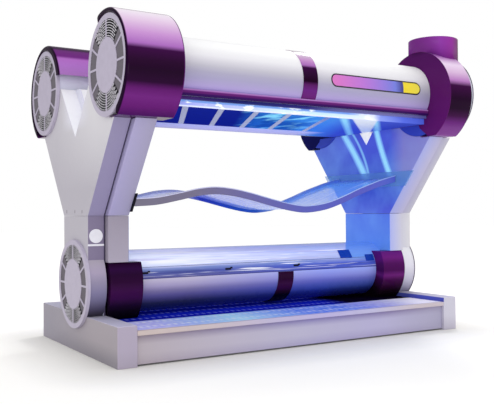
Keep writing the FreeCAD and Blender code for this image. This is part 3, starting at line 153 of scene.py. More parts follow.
def arc(centre_y, centre_z, radius, start, stop, steps):
    """Points of an arc in the (y, z) plane, angles in degrees from +Y towards +Z."""
    angle = np.radians(np.linspace(start, stop, steps))
    return np.column_stack([centre_y + radius * np.cos(angle), centre_z + radius * np.sin(angle)])


def tidy_normals(thing):
    """Merge doubles and point the faces of a closed shape outwards."""
    import bmesh
    work = bmesh.new()
    work.from_mesh(thing.data)
    bmesh.ops.remove_doubles(work, verts=work.verts, dist=1e-6)
    bmesh.ops.recalc_face_normals(work, faces=work.faces)
    work.to_mesh(thing.data)
    work.free()
    return thing


def bevelled(thing, width, segments=3, angle=30):
    """Rounded edges with clean shading on the flats."""
    tidy_normals(thing)
    bevel = thing.modifiers.new("edges", "BEVEL")
    bevel.width = width
    bevel.segments = segments
    bevel.limit_method = "ANGLE"
    bevel.angle_limit = math.radians(angle)
    bevel.harden_normals = True
    return thing


# ---- materials -----------------------------------------------------------------------------
class Finish:
    """A node material on a Principled shader, with short calls for the nodes it uses."""

    def __init__(self, name, **sockets):
        self.material = bpy.data.materials.new(name)
        self.material.use_nodes = True
        self.tree = self.material.node_tree
        self.shader = self.tree.nodes["Principled BSDF"]
        self.output = self.tree.nodes["Material Output"]
        self.place = None
        for socket, number in sockets.items():
            self.shader.inputs[socket.replace("_", " ")].default_value = number

    def node(self, kind, **inputs):
        made = self.tree.nodes.new(kind)
        for socket, item in inputs.items():
            self.feed(made, socket.replace("_", " "), item)
        return made

    def feed(self, made, socket, item):
        key = int(socket[1:]) if socket[0] == "i" and socket[1:].isdigit() else socket
        if isinstance(item, bpy.types.NodeSocket):
            self.tree.links.new(item, made.inputs[key])
        else:
            made.inputs[key].default_value = item

    def into(self, socket, item):
        self.tree.links.new(item, self.shader.inputs[socket])

    def axis(self, letter):
        """One of the object's own X, Y or Z coordinates."""
        if self.place is None:
            self.place = self.node("ShaderNodeSeparateXYZ", Vector=self.coordinates())
        return self.place.outputs[letter]

    def coordinates(self):
        return self.tree.nodes.new("ShaderNodeTexCoord").outputs["Object"]

    def sum(self, operation, first, second=0.0, third=0.0, clamp=False):
        made = self.node("ShaderNodeMath", i0=first, i1=second, i2=third)
        made.operation = operation
        made.use_clamp = clamp
        return made.outputs[0]

    def fraction(self, value, low, high):
        """0 at low, 1 at high, clamped between."""
        made = self.node("ShaderNodeMapRange", Value=value, From_Min=low, From_Max=high)
        return made.outputs["Result"]

    def ramp(self, factor, stops, smooth=True):
        made = self.tree.nodes.new("ShaderNodeValToRGB")
        self.tree.links.new(factor, made.inputs["Fac"])
        band = made.color_ramp
        band.interpolation = "EASE" if smooth else "LINEAR"
        band.elements.remove(band.elements[1])
        band.elements[0].position = stops[0][0]
        band.elements[0].color = (*stops[0][1], 1.0)
        for position, colour in stops[1:]:
            band.elements.new(position).color = (*colour, 1.0)
        return made.outputs["Color"]

    def mix(self, factor, first, second, blend="MIX"):
        made = self.tree.nodes.new("ShaderNodeMix")
        made.data_type = "RGBA"
        made.blend_type = blend
        for key, item in ((0, factor), (6, first), (7, second)):
            if isinstance(item, bpy.types.NodeSocket):
                self.tree.links.new(item, made.inputs[key])
            elif isinstance(item, tuple):
                made.inputs[key].default_value = (*item, 1.0)
            else:
                made.inputs[key].default_value = item
        return made.outputs[2]

    def noise(self, scale, detail=4.0, stretch=None):
        where = self.coordinates()
        if stretch:
            where = self.node("ShaderNodeMapping", Vector=where, Scale=stretch).outputs[0]
        made = self.node("ShaderNodeTexNoise", Vector=where, Scale=scale, Detail=detail)
        return made.outputs["Fac"]

    def bump(self, height, strength, distance=0.001):
        made = self.node("ShaderNodeBump", Height=height, Strength=strength, Distance=distance)
        self.into("Normal", made.outputs[0])

    def roughness(self, low, high, scale=30.0):
        """Slightly uneven gloss, from low to high roughness."""
        self.into("Roughness", self.node("ShaderNodeMapRange", Value=self.noise(scale), To_Min=low,
                                         To_Max=high).outputs["Result"])

    def angle(self, centre_y, centre_z):
        """Angle round an X axis as 0 to 1: 0 underneath, 0.5 on top, whichever side it is on."""
        across = self.sum("ABSOLUTE", self.sum("SUBTRACT", self.sum("ABSOLUTE", self.axis("Y")), centre_y))
        up = self.sum("SUBTRACT", self.axis("Z"), centre_z)
        turn = self.sum("ARCTAN2", up, across)
        return self.sum("MULTIPLY_ADD", turn, 1 / math.pi, 0.5)


def srgb(red, green, blue):
    """Linear colour from a 0 to 255 display colour."""
    channel = np.array([red, green, blue]) / 255.0
    linear = np.where(channel <= 0.04045, channel / 12.92, ((channel + 0.055) / 1.055) ** 2.4)
    return tuple(float(c) for c in linear)




# ---- colours -------------------------------------------------------------------------------
def stops(*pairs):
    """Ramp stops from (position, (red, green, blue)) pairs in display colours."""
    return [(position, srgb(*colour)) for position, colour in pairs]


def banded(name, centre_y, centre_z, left, right=None, ends=(-0.6, 0.5), rough=(0.1, 0.2), level=0.04, **sockets):
    """Lacquer with painted highlights, reflections and shade by the angle round an X axis; may change from left to
    right.
    """
    finish = Finish(name, Specular_IOR_Level=level, **sockets)
    turn = finish.angle(centre_y, centre_z)
    colour = finish.ramp(turn, left, smooth=False)
    if right:
        share = finish.fraction(finish.axis("X"), *ends)
        colour = finish.mix(share, colour, finish.ramp(turn, right, smooth=False))
    finish.into("Base Color", colour)
    finish.roughness(*rough, 14)
    return finish


# These ramps paint light by the angle round each axis: highlights, reflections, shade and blue lamp light.
SHROUD_BANDS = stops((0.0, (70, 15, 85)), (0.19, (78, 22, 96)), (0.25, (105, 31, 118)), (0.31, (114, 40, 128)),
                     (0.355, (96, 28, 108)), (0.39, (42, 9, 48)), (0.45, (33, 8, 37)), (0.50, (42, 12, 46)),
                     (0.56, (58, 14, 66)), (0.585, (168, 106, 187)), (0.65, (199, 147, 209)), (0.74, (226, 198, 228)),
                     (0.82, (240, 226, 242)), (0.865, (250, 240, 250)), (0.89, (122, 78, 128)), (1.0, (120, 50, 130)))
REAR_SHROUD_BANDS = stops((0.0, (70, 15, 85)), (0.45, (120, 50, 135)), (0.58, (168, 118, 185)), (0.66, (175, 115, 198)),
                          (0.715, (176, 108, 194)), (0.74, (112, 42, 127)), (0.81, (104, 42, 117)),
                          (0.84, (44, 4, 52)), (0.90, (60, 20, 70)), (1.0, (120, 50, 130)))
RIGHT_SHROUD_BANDS = stops((0.0, (110, 50, 130)), (0.16, (150, 85, 165)), (0.21, (132, 65, 150)), (0.26, (126, 62, 144)),
                           (0.30, (108, 40, 126)), (0.35, (64, 18, 70)), (0.40, (35, 8, 39)), (0.47, (36, 8, 40)),
                           (0.555, (60, 11, 66)), (0.59, (186, 126, 196)), (0.65, (221, 187, 224)),
                           (0.72, (242, 220, 247)), (0.80, (190, 130, 200)), (0.86, (130, 52, 154)), (1.0, (126, 52, 149)))
REAR_RIGHT_BANDS = stops((0.0, (10, 14, 80)), (0.34, (14, 16, 92)), (0.44, (60, 20, 90)), (0.55, (90, 30, 110)),
                         (0.70, (176, 108, 194)), (1.0, (126, 52, 149)))
TUBE_BANDS = stops((0.0, (165, 150, 231)), (0.30, (164, 150, 214)), (0.36, (181, 166, 220)), (0.43, (172, 166, 202)),
                   (0.48, (176, 172, 198)), (0.53, (194, 192, 206)), (0.58, (216, 214, 224)), (0.63, (236, 235, 241)),
                   (0.72, (250, 250, 252)), (1.0, (253, 253, 254)))
BAND_BANDS = stops((0.0, (61, 5, 76)), (0.30, (64, 8, 80)), (0.34, (108, 38, 120)), (0.41, (106, 37, 128)),
                   (0.46, (88, 30, 98)), (0.49, (30, 3, 30)), (0.56, (44, 10, 50)), (0.62, (54, 6, 62)),
                   (0.645, (170, 108, 186)), (0.70, (198, 144, 204)), (0.76, (206, 182, 209)), (0.86, (213, 206, 214)),
                   (1.0, (140, 110, 140)))
RING_LEFT_BANDS = stops((0.0, (6, 2, 8)), (0.25, (5, 2, 6)), (0.31, (18, 8, 22)), (0.36, (32, 12, 44)),
                        (0.41, (56, 14, 68)), (0.46, (60, 15, 70)), (0.52, (46, 11, 52)), (0.57, (40, 10, 48)),
                        (0.61, (46, 11, 60)), (0.66, (28, 2, 32)), (1.0, (60, 16, 76)))
RING_RIGHT_BANDS = stops((0.0, (14, 6, 16)), (0.25, (14, 6, 16)), (0.31, (28, 9, 27)), (0.36, (52, 12, 54)),
                         (0.41, (71, 14, 74)), (0.45, (109, 31, 116)), (0.49, (73, 10, 81)), (0.55, (83, 22, 92)),
                         (0.60, (111, 32, 123)), (0.66, (99, 29, 125)), (1.0, (106, 33, 134)))
TROUGH_LEFT_BANDS = stops((0.0, (51, 63, 201)), (0.15, (46, 56, 129)), (0.20, (35, 42, 98)), (0.26, (52, 56, 95)),
                          (0.31, (84, 79, 133)), (0.36, (110, 102, 162)), (0.41, (141, 130, 174)),
                          (0.46, (181, 169, 205)), (0.53, (208, 198, 220)), (1.0, (208, 198, 220)))
TROUGH_RIGHT_BANDS = stops((0.0, (44, 55, 204)), (0.20, (34, 46, 138)), (0.26, (44, 61, 156)), (0.31, (71, 92, 190)),
                           (0.36, (92, 107, 201)), (0.41, (118, 123, 213)), (0.46, (149, 156, 235)),
                           (0.53, (168, 182, 255)), (1.0, (168, 182, 255)))
COVER_LEFT_BANDS = stops((0.0, (80, 90, 160)), (0.54, (98, 96, 152)), (0.59, (86, 94, 160)), (0.635, (128, 145, 198)),
                         (0.66, (205, 212, 238)), (0.70, (240, 243, 254)), (0.79, (236, 240, 253)),
                         (0.84, (223, 224, 232)), (0.91, (217, 217, 240)), (1.0, (206, 208, 218)))
COVER_RIGHT_BANDS = stops((0.0, (60, 75, 180)), (0.54, (76, 90, 182)), (0.59, (70, 90, 200)), (0.64, (120, 140, 206)),
                          (0.67, (176, 188, 232)), (0.70, (196, 204, 240)), (0.79, (198, 206, 246)),
                          (0.84, (184, 195, 230)), (0.91, (172, 187, 222)), (1.0, (161, 177, 200)))
LOWER_BAND_BANDS = stops((0.0, (4, 4, 20)), (0.25, (8, 5, 12)), (0.30, (40, 13, 38)), (0.35, (58, 15, 64)),
                         (0.40, (64, 22, 66)), (0.45, (46, 9, 46)), (1.0, (48, 10, 60)))
LOWER_CASING_LEFT_BANDS = stops((0.0, (60, 56, 70)), (0.28, (60, 56, 72)), (0.34, (88, 82, 110)),
                                (0.40, (117, 112, 144)), (0.46, (135, 129, 162)), (0.53, (152, 144, 170)),
                                (0.60, (172, 160, 185)), (0.68, (174, 165, 182)), (1.0, (180, 172, 190)))
LOWER_CASING_RIGHT_BANDS = stops((0.0, (120, 116, 140)), (0.28, (150, 146, 172)), (0.40, (205, 202, 220)),
                                 (0.53, (232, 230, 240)), (0.68, (240, 240, 246)), (1.0, (236, 236, 242)))
CASING_BANDS = stops((0.0, (186, 183, 194)), (0.12, (192, 190, 199)), (0.20, (222, 220, 233)), (0.33, (230, 229, 245)),
                     (0.40, (212, 213, 231)), (0.45, (192, 193, 211)), (0.50, (204, 205, 222)),
                     (0.56, (224, 223, 242)), (1.0, (240, 238, 248)))



def hood_paint(row, side, tag, bands, low, high):
    """Painted highlight and shade bands on the barrel, a near-black rolled end and a plate with painted shade from low
    to high.
    """
    finish = banded("shroud_%s_%s" % (row, tag), SHROUD_Y, SHROUD_Z, bands)
    painted = finish.shader.inputs["Base Color"].links[0].from_socket
    across = finish.sum("ABSOLUTE", finish.axis("X"))
    end = finish.fraction(across, SHROUD_OUT[side] - 0.011, SHROUD_OUT[side] - 0.006)
    painted = finish.mix(end, painted, srgb(30, 6, 38))
    plate = finish.mix(finish.fraction(finish.axis("Z"), SHROUD_FLOOR, SHROUD_Z + SHROUD_R), low, high)
    inner = finish.fraction(across, SHROUD_IN[side] + 0.006, SHROUD_IN[side] + 0.004)
    finish.into("Base Color", finish.mix(inner, painted, plate))
    return finish.material


# The last two colours are the painted shade of each inner plate, at its foot and at its top.
SHROUD_PAINT = {
    ("front", "left"): hood_paint("front", LEFT, "left", SHROUD_BANDS, srgb(104, 34, 120), srgb(60, 12, 72)),
    ("rear", "left"): hood_paint("rear", LEFT, "left", REAR_SHROUD_BANDS, srgb(20, 20, 90), srgb(60, 12, 72)),
    ("front", "right"): hood_paint("front", RIGHT, "right", RIGHT_SHROUD_BANDS, srgb(104, 28, 112),
                                   srgb(74, 20, 86)),
    ("rear", "right"): hood_paint("rear", RIGHT, "right", REAR_RIGHT_BANDS, srgb(10, 14, 84), srgb(14, 16, 90))}
TUBE_WHITE = banded("canopy_tube_white", TUBE_Y, TUBE_Z, TUBE_BANDS, rough=(0.25, 0.35)).material
CANOPY_BAND_PURPLE = banded("canopy_band_purple", TUBE_Y, TUBE_Z, BAND_BANDS).material


def casing_paint():
    """White drum wall with painted shade bands, and painted blue lamp light where its right inner end shows under the
    hood.
    """
    finish = banded("casing_white", DRUM_Y, DRUM_Z, CASING_BANDS, rough=(0.25, 0.35))
    painted = finish.shader.inputs["Base Color"].links[0].from_socket
    inner = finish.fraction(finish.sum("ABSOLUTE", finish.sum("SUBTRACT", finish.axis("X"), POST_INNER)),
                            0.065, 0.055)
    finish.into("Base Color", finish.mix(inner, painted, srgb(66, 84, 200)))
    return finish.material


CASING_WHITE = casing_paint()
# Lower ring, trough, band and casings: painted highlights, reflections and shade by the angle round the axis.
RING_PURPLE = banded("lower_ring_purple", 0.0, LOWER_Z, RING_LEFT_BANDS, RING_RIGHT_BANDS).material
TROUGH_WHITE = banded("trough_white", 0.0, LOWER_Z, TROUGH_LEFT_BANDS, TROUGH_RIGHT_BANDS, rough=(0.22, 0.32)).material
LOWER_BAND_PURPLE = banded("lower_band_purple", 0.0, LOWER_Z, LOWER_BAND_BANDS).material
LOWER_CASING_WHITE = banded("lower_casing_white", 0.0, LOWER_Z, LOWER_CASING_LEFT_BANDS, LOWER_CASING_RIGHT_BANDS,
                            rough=(0.25, 0.35)).material


def lower_cover_paint():
    """Clear acrylic over the lower lamps, painted bright where the light shows through, with painted reflection
    streaks.
    """
    finish = banded("lower_cover", 0.0, LOWER_Z, COVER_LEFT_BANDS, COVER_RIGHT_BANDS, rough=(0.04, 0.12), level=0.15)
    painted = finish.shader.inputs["Base Color"].links[0].from_socket
    light_streak = finish.fraction(finish.noise(7.0, 3.0, (0.55, 9.0, 16.0)), 0.50, 0.72)
    above = finish.fraction(finish.angle(0.0, LOWER_Z), 0.60, 0.70)
    share = finish.sum("MULTIPLY", finish.sum("MULTIPLY", light_streak, above), 0.3)
    shade = finish.mix(share, painted, srgb(110, 150, 235))
    violet = finish.fraction(finish.noise(5.0, 2.0, (0.35, 7.0, 12.0)), 0.54, 0.62)
    violet = finish.sum("MULTIPLY", finish.sum("MULTIPLY", violet, above), 0.55)
    shade = finish.mix(violet, shade, srgb(196, 190, 224))
    # Painted white glints on the cover.
    glint = finish.fraction(finish.noise(9.0, 2.0, (0.25, 6.0, 14.0)), 0.62, 0.68)
    seam = finish.fraction(finish.angle(0.0, LOWER_Z), 0.53, 0.60)
    shade = finish.mix(finish.sum("MULTIPLY", glint, seam), shade, srgb(255, 255, 255))
    # Painted blue of the lit post seen through the cover at its right end.
    post = finish.fraction(finish.sum("MULTIPLY_ADD", finish.axis("Y"), -0.83, finish.axis("X")), 0.832, 0.850)
    post = finish.sum("MULTIPLY", post, finish.fraction(finish.angle(0.0, LOWER_Z), 0.62, 0.67))
    shade = finish.mix(finish.sum("MULTIPLY", post, 0.8), shade, srgb(76, 142, 230))
    line = finish.fraction(finish.noise(11.0, 2.0, (0.12, 5.0, 20.0)), 0.60, 0.66)
    below = finish.fraction(finish.angle(0.0, LOWER_Z), 0.64, 0.60)
    line = finish.sum("MULTIPLY", finish.sum("MULTIPLY", line, below), 0.7)
    finish.into("Base Color", finish.mix(line, shade, srgb(44, 50, 120)))
    finish.shader.inputs["Alpha"].default_value = 0.96
    # Painted glow: the cover gives off its own colour as light.
    finish.into("Emission Color", finish.shader.inputs["Base Color"].links[0].from_socket)
    finish.shader.inputs["Emission Strength"].default_value = 0.2
    return finish.material


def coloured(name, rough=(0.28, 0.4), level=0.08):
    finish = Finish(name, Specular_IOR_Level=level)
    finish.roughness(*rough, 20)
    return finish


def notch_share(finish):
    """1 on the faces inside the notch between the two arms."""
    inside = finish.fraction(finish.sum("ABSOLUTE", finish.axis("Y")), 0.36, 0.34)
    return finish.sum("MULTIPLY", finish.fraction(finish.axis("Z"), 1.28, 1.31), inside)


def outer_post_paint():
    """White outer slab: painted light high up, at the front and near the notch; painted shade on the edges, darker at
    the left end.
    """
    finish = coloured("post_outer_white")
    high = finish.fraction(finish.axis("Z"), 1.0, 1.5)
    front = finish.fraction(finish.axis("Y"), 0.35, -0.35)
    lift = finish.sum("MULTIPLY", high, front)
    face = finish.mix(high, srgb(192, 188, 199), srgb(206, 203, 212))
    face = finish.mix(lift, face, srgb(228, 226, 232))
    notch = finish.sum("MULTIPLY", finish.fraction(finish.axis("Z"), 1.36, 1.44),
                       finish.fraction(finish.sum("ABSOLUTE", finish.axis("Y")), 0.26, 0.08))
    face = finish.mix(notch, face, srgb(230, 229, 243))
    edge_left = finish.mix(finish.fraction(finish.axis("Z"), 0.83, 0.84), srgb(134, 124, 152), srgb(156, 148, 183))
    across = finish.fraction(finish.axis("X"), 1.2, 1.29)
    edge_right = finish.mix(across, srgb(184, 180, 214), srgb(201, 199, 214))
    column_right = finish.mix(across, srgb(212, 211, 226), srgb(223, 222, 227))
    edge_right = finish.mix(finish.fraction(finish.axis("Z"), 0.83, 0.84), column_right, edge_right)
    edge = finish.mix(finish.fraction(finish.axis("X"), -0.1, 0.1), edge_left, edge_right)
    edge = finish.mix(notch_share(finish), edge, srgb(250, 250, 255))
    outer = finish.fraction(finish.sum("ABSOLUTE", finish.axis("X")), POST_OUTER - 0.004, POST_OUTER - 0.001)
    finish.into("Base Color", finish.mix(outer, edge, face))
    return finish.material


def light_streak(finish, start, slope, bend, width):
    """Soft line of painted lamp reflection on the inner face: 1 where y is near start + slope * (z - 1.3) + bend * (z -
    1.3)^2.
    """
    up = finish.sum("SUBTRACT", finish.axis("Z"), 1.3)
    line = finish.sum("MULTIPLY_ADD", finish.sum("MULTIPLY_ADD", up, bend, slope), up, start)
    away = finish.sum("ABSOLUTE", finish.sum("SUBTRACT", finish.axis("Y"), line))
    return finish.fraction(away, width, width * 0.25)


def inner_post_paint(name, side):
    """Inner slab in painted blue lamp light: a bright column, a deeper Y with painted reflection streaks, white edges;
    the right one glows.
    """
    finish = coloured(name, (0.16, 0.28), 0.08)
    up = finish.axis("Z")
    face = finish.ramp(finish.fraction(up, 0.55, 1.66),
                       stops((0.0, (84, 134, 224)), (0.15, (92, 132, 222)), (0.245, (92, 128, 222)),
                             (0.262, (86, 100, 205)), (0.36, (74, 92, 198)), (0.48, (66, 92, 192)),
                             (0.62, (74, 92, 198)), (0.75, (84, 98, 206)), (1.0, (70, 84, 196))), smooth=False)
    glow_mottle = finish.fraction(finish.noise(3.2, 3.0), 0.42, 0.70)
    face = finish.mix(finish.sum("MULTIPLY", glow_mottle, 0.4), face, srgb(128, 176, 236))
    window = finish.sum("MULTIPLY", finish.fraction(up, 1.06, 1.16), finish.fraction(up, 1.56, 1.46))
    glow = finish.sum("MAXIMUM", light_streak(finish, 0.135, 0.75, 0.35, 0.055), light_streak(finish, -0.185, 0.42, -0.3, 0.042))
    glow = finish.sum("MAXIMUM", glow, finish.sum("MULTIPLY", light_streak(finish, 0.04, 0.55, 0.9, 0.02), 0.6))
    front = finish.sum("MULTIPLY", finish.fraction(finish.axis("Y"), -0.28, -0.42), window)
    face = finish.mix(finish.sum("MULTIPLY", front, 0.6), face, srgb(158, 146, 190))
    face = finish.mix(finish.sum("MULTIPLY", glow, window), face, srgb(172, 240, 255))
    across = finish.fraction(finish.sum("ABSOLUTE", finish.axis("X")), POST_INNER + 0.01, GROOVE_INNER - 0.01)
    lit = finish.mix(across, srgb(178, 184, 240), srgb(198, 194, 225))
    shaded = finish.mix(across, srgb(172, 166, 196), srgb(180, 173, 212))
    edge = lit if side == RIGHT else shaded
    column = finish.mix(across, srgb(184, 191, 244), srgb(214, 212, 225)) if side == RIGHT \
        else finish.mix(finish.fraction(up, 0.84, 0.55), srgb(160, 152, 168), srgb(176, 168, 184))
    edge = finish.mix(finish.fraction(up, 0.83, 0.84), column, edge)
    edge = finish.mix(notch_share(finish), edge, srgb(252, 252, 255))
    inside = finish.fraction(finish.sum("ABSOLUTE", finish.axis("X")), POST_INNER + 0.004, POST_INNER + 0.001)
    finish.into("Base Color", finish.mix(inside, edge, face))
    if side == RIGHT:
        finish.into("Emission Color", finish.mix(inside, (0.0, 0.0, 0.0), face))
        finish.shader.inputs["Emission Strength"].default_value = 0.28
    return finish.material


def deck_paint(name, lift):
    """Deck in painted lamp light: navy shade beside the lamp tube and, past a sharp line, a pale strip; lift brightens
    the dashes.
    """
    finish = coloured(name, (0.25, 0.42), 0.0)
    along = finish.fraction(finish.axis("X"), -1.2, 1.2)
    away = finish.sum("ABSOLUTE", finish.axis("Y"))
    pale = finish.ramp(along, stops((0.0, (190, 188, 250)), (0.09, (188, 188, 252)), (0.2, (168, 200, 252)),
                                    (0.31, (186, 238, 255)), (0.4, (158, 200, 255)), (0.52, (102, 142, 250)),
                                    (0.66, (104, 138, 246)), (0.74, (150, 156, 240)), (0.82, (196, 190, 240)),
                                    (0.9, (236, 230, 246)), (1.0, (240, 234, 246))), smooth=False)
    speckle = finish.fraction(finish.noise(26.0, 2.0), 0.40, 0.66)
    pale = finish.mix(finish.sum("MULTIPLY", speckle, 0.3), pale, srgb(236, 242, 255))
    navy = finish.mix(finish.fraction(away, 0.16, 0.32), srgb(24, 42, 216), srgb(22, 32, 164))
    # Painted dark reflection at the right end, under the collar.
    navy = finish.mix(finish.fraction(along, 0.695, 0.76), navy, srgb(14, 5, 30))
    share = finish.fraction(away, 0.332, 0.340)
    lift = finish.sum("MULTIPLY", finish.fraction(along, 0.76, 0.695), lift)
    colour = finish.mix(share, finish.mix(lift, navy, srgb(150, 160, 255)), finish.mix(lift, pale, srgb(255, 255, 255)))
    finish.into("Base Color", colour)
    return finish.material


def ramp_along_x(name, colours, rough=(0.3, 0.42), level=0.08):
    finish = coloured(name, rough, level)
    along = finish.fraction(finish.axis("X"), -HALF_LENGTH, HALF_LENGTH)
    finish.into("Base Color", finish.ramp(along, colours, smooth=False))
    return finish.material


def kick_paint():
    """White front panel with painted shade: a little darker at its top and bottom edges and towards its right end."""
    finish = coloured("kick_white")
    along = finish.fraction(finish.axis("X"), -HALF_LENGTH, HALF_LENGTH)
    middle = finish.ramp(along, stops((0.0, (184, 174, 180)), (0.25, (192, 185, 202)), (0.45, (193, 189, 213)),
                                      (0.7, (190, 185, 219)), (1.0, (188, 184, 212))), smooth=False)
    dark = finish.ramp(along, stops((0.0, (160, 148, 156)), (0.5, (154, 147, 196)), (1.0, (156, 142, 178))),
                       smooth=False)
    top = finish.fraction(finish.axis("Z"), 0.120, 0.162)
    foot = finish.sum("MULTIPLY", finish.fraction(finish.axis("Z"), 0.07, 0.012), 0.5)
    shade = finish.mix(finish.sum("MAXIMUM", top, foot), middle, dark)
    finish.into("Base Color", finish.mix(finish.fraction(along, 0.75, 1.0), shade, srgb(170, 166, 192)))
    return finish.material


def beam_paint():
    """White end beams in painted light and shade: shaded outer side, paler front and top, blue lamp light on the right
    inner face.
    """
    finish = coloured("beam_white")
    side = finish.mix(finish.fraction(finish.axis("Z"), 0.02, 0.11), srgb(143, 138, 148), srgb(171, 163, 171))
    side = finish.mix(finish.fraction(finish.axis("Y"), -0.3, 0.5), side, srgb(156, 151, 164))
    left_front = finish.mix(finish.fraction(finish.axis("Z"), 0.0, 0.1), srgb(168, 159, 177), srgb(178, 168, 188))
    right_front = finish.mix(finish.fraction(finish.axis("Z"), 0.0, 0.1), srgb(188, 183, 200), srgb(208, 205, 220))
    front = finish.mix(finish.fraction(finish.axis("X"), -0.5, 0.5), left_front, right_front)
    top = finish.mix(finish.fraction(finish.axis("Y"), -0.6, -0.3), srgb(212, 208, 229), srgb(190, 187, 206))
    outer = finish.fraction(finish.sum("ABSOLUTE", finish.axis("X")), HALF_LENGTH - 0.003, HALF_LENGTH - 0.0005)
    upper = finish.fraction(finish.axis("Z"), BEAM_TOP - 0.003, BEAM_TOP - 0.0005)
    colour = finish.mix(outer, front, side)
    colour = finish.mix(upper, colour, top)
    inner = finish.sum("MULTIPLY", finish.fraction(finish.axis("X"), HALF_LENGTH - 0.117, HALF_LENGTH - 0.1192),
                       finish.fraction(finish.axis("X"), 0.0, 0.1))
    inner = finish.sum("MULTIPLY", inner, finish.fraction(finish.axis("Z"), BEAM_TOP, BEAM_TOP - 0.004))
    inner = finish.sum("MULTIPLY", inner, finish.fraction(finish.axis("Z"), DECK_TOP - 0.002, DECK_TOP))
    finish.into("Base Color", finish.mix(inner, colour, srgb(84, 92, 190)))
    return finish.material


def trim_paint():
    """Dark purple rail with a painted highlight along its upper edge."""
    finish = coloured("trim_purple", (0.12, 0.2), 0.08)
    up = finish.fraction(finish.axis("Z"), 1.525, 1.566)
    colour = finish.ramp(up, stops((0.0, (52, 17, 92)), (0.30, (56, 18, 92)), (0.42, (94, 32, 110)),
                                   (0.70, (104, 36, 118)), (0.80, (162, 108, 182)), (1.0, (186, 140, 206))),
                         smooth=False)
    finish.into("Base Color", colour)
    return finish.material


def pan_front_paint():
    """Clear pan wall: painted lamp light shining through, painted glints, a glow, and the lit post's blue painted in at
    the right.
    """
    finish = Finish("pan_front", Roughness=0.1, Specular_IOR_Level=0.1)
    along = finish.fraction(finish.axis("X"), -1.0, 1.05)
    colour = finish.ramp(along, stops((0.0, (120, 110, 200)), (0.05, (150, 160, 230)), (0.12, (168, 176, 236)),
                                      (0.27, (178, 190, 238)), (0.40, (206, 228, 246)), (0.55, (190, 220, 246)),
                                      (0.68, (206, 224, 248)), (0.765, (222, 228, 248)), (0.795, (132, 150, 226)),
                                      (0.9, (84, 104, 214)), (1.0, (74, 92, 206))), smooth=False)
    low = finish.fraction(finish.axis("Z"), 1.478, 1.473)
    colour = finish.mix(finish.sum("MULTIPLY", low, finish.fraction(along, 0.79, 0.77)), colour, srgb(214, 220, 248))
    high = finish.fraction(finish.axis("Z"), 1.492, 1.497)
    colour = finish.mix(finish.sum("MULTIPLY", high, finish.fraction(along, 0.72, 0.66)), colour, srgb(120, 160, 230))
    painted_glint = finish.fraction(finish.noise(12.0, 4.0, (1.0, 1.0, 3.0)), 0.56, 0.64)
    painted_glint = finish.sum("MULTIPLY", painted_glint, finish.fraction(along, 0.8, 0.74))
    colour = finish.mix(painted_glint, colour, srgb(244, 252, 255))
    finish.into("Base Color", colour)
    finish.into("Emission Color", colour)
    finish.shader.inputs["Emission Strength"].default_value = 0.36
    return finish.material


def lamp_field_paint():
    """Underside of the lit pan in painted lamp light: navy at the left, brighter with painted glints in the middle,
    then even blue.

    The shades follow x - 0.5 * (y - front), and the rear strip shows the pale tray rail.
    """
    finish = Finish("lamp_field", Roughness=0.25, Specular_IOR_Level=0.0)
    back = finish.sum("ADD", finish.axis("Y"), PAN_FRONT)
    slant = finish.sum("MULTIPLY_ADD", back, -0.5, finish.axis("X"))
    colour = finish.ramp(finish.fraction(slant, -1.4, 0.8),
                         stops((0.0, (30, 34, 110)), (0.22, (20, 34, 138)), (0.42, (18, 32, 134)),
                               (0.49, (34, 96, 186)), (0.58, (44, 114, 200)), (0.68, (60, 134, 220)),
                               (0.76, (70, 132, 222)), (0.86, (64, 86, 202)), (1.0, (64, 82, 196))), smooth=False)
    middle = finish.sum("MULTIPLY", finish.fraction(slant, -0.48, -0.3), finish.fraction(slant, 0.2, 0.05))
    glow_cloud = finish.fraction(finish.noise(7.0, 5.0, (1.0, 0.5, 1.0)), 0.52, 0.62)
    colour = finish.mix(finish.sum("MULTIPLY", glow_cloud, middle), colour, srgb(128, 208, 240))
    shade = finish.fraction(finish.noise(5.0, 3.0, (1.0, 0.4, 1.0)), 0.47, 0.38)
    colour = finish.mix(finish.sum("MULTIPLY", finish.sum("MULTIPLY", shade, middle), 0.6), colour, srgb(14, 60, 150))
    # Two painted lines of lamp reflection across the field.
    for start, slope in ((0.315, 0.882), (0.586, 0.923)):
        line = finish.sum("SUBTRACT", finish.axis("X"), finish.sum("MULTIPLY_ADD", back, slope, start))
        beam = finish.fraction(finish.sum("ABSOLUTE", line), 0.05, 0.012)
        colour = finish.mix(finish.sum("MULTIPLY", beam, 0.75), colour, srgb(156, 226, 252))
    # A painted reflection of the pale notch.
    left = finish.sum("MULTIPLY_ADD", finish.sum("SUBTRACT", back, 0.04), 0.971, 0.418)
    right = finish.sum("MULTIPLY_ADD", back, 0.755, 0.615)
    notch = finish.sum("MULTIPLY", finish.fraction(finish.sum("SUBTRACT", finish.axis("X"), left), 0.0, 0.02),
                       finish.fraction(finish.sum("SUBTRACT", right, finish.axis("X")), 0.0, 0.02))
    colour = finish.mix(notch, colour, srgb(212, 220, 234))
    rail = finish.mix(finish.fraction(finish.axis("Y"), 0.12, 0.40), srgb(184, 190, 240), srgb(176, 174, 222))
    strip = finish.sum("MULTIPLY", finish.fraction(finish.axis("Y"), 0.13, 0.15),
                       finish.fraction(finish.axis("X"), 0.78, 0.62))
    colour = finish.mix(strip, colour, rail)
    finish.into("Base Color", colour)
    # Painted glow: the field gives off its own colour as light.
    finish.into("Emission Color", colour)
    finish.shader.inputs["Emission Strength"].default_value = 0.42
    return finish.material


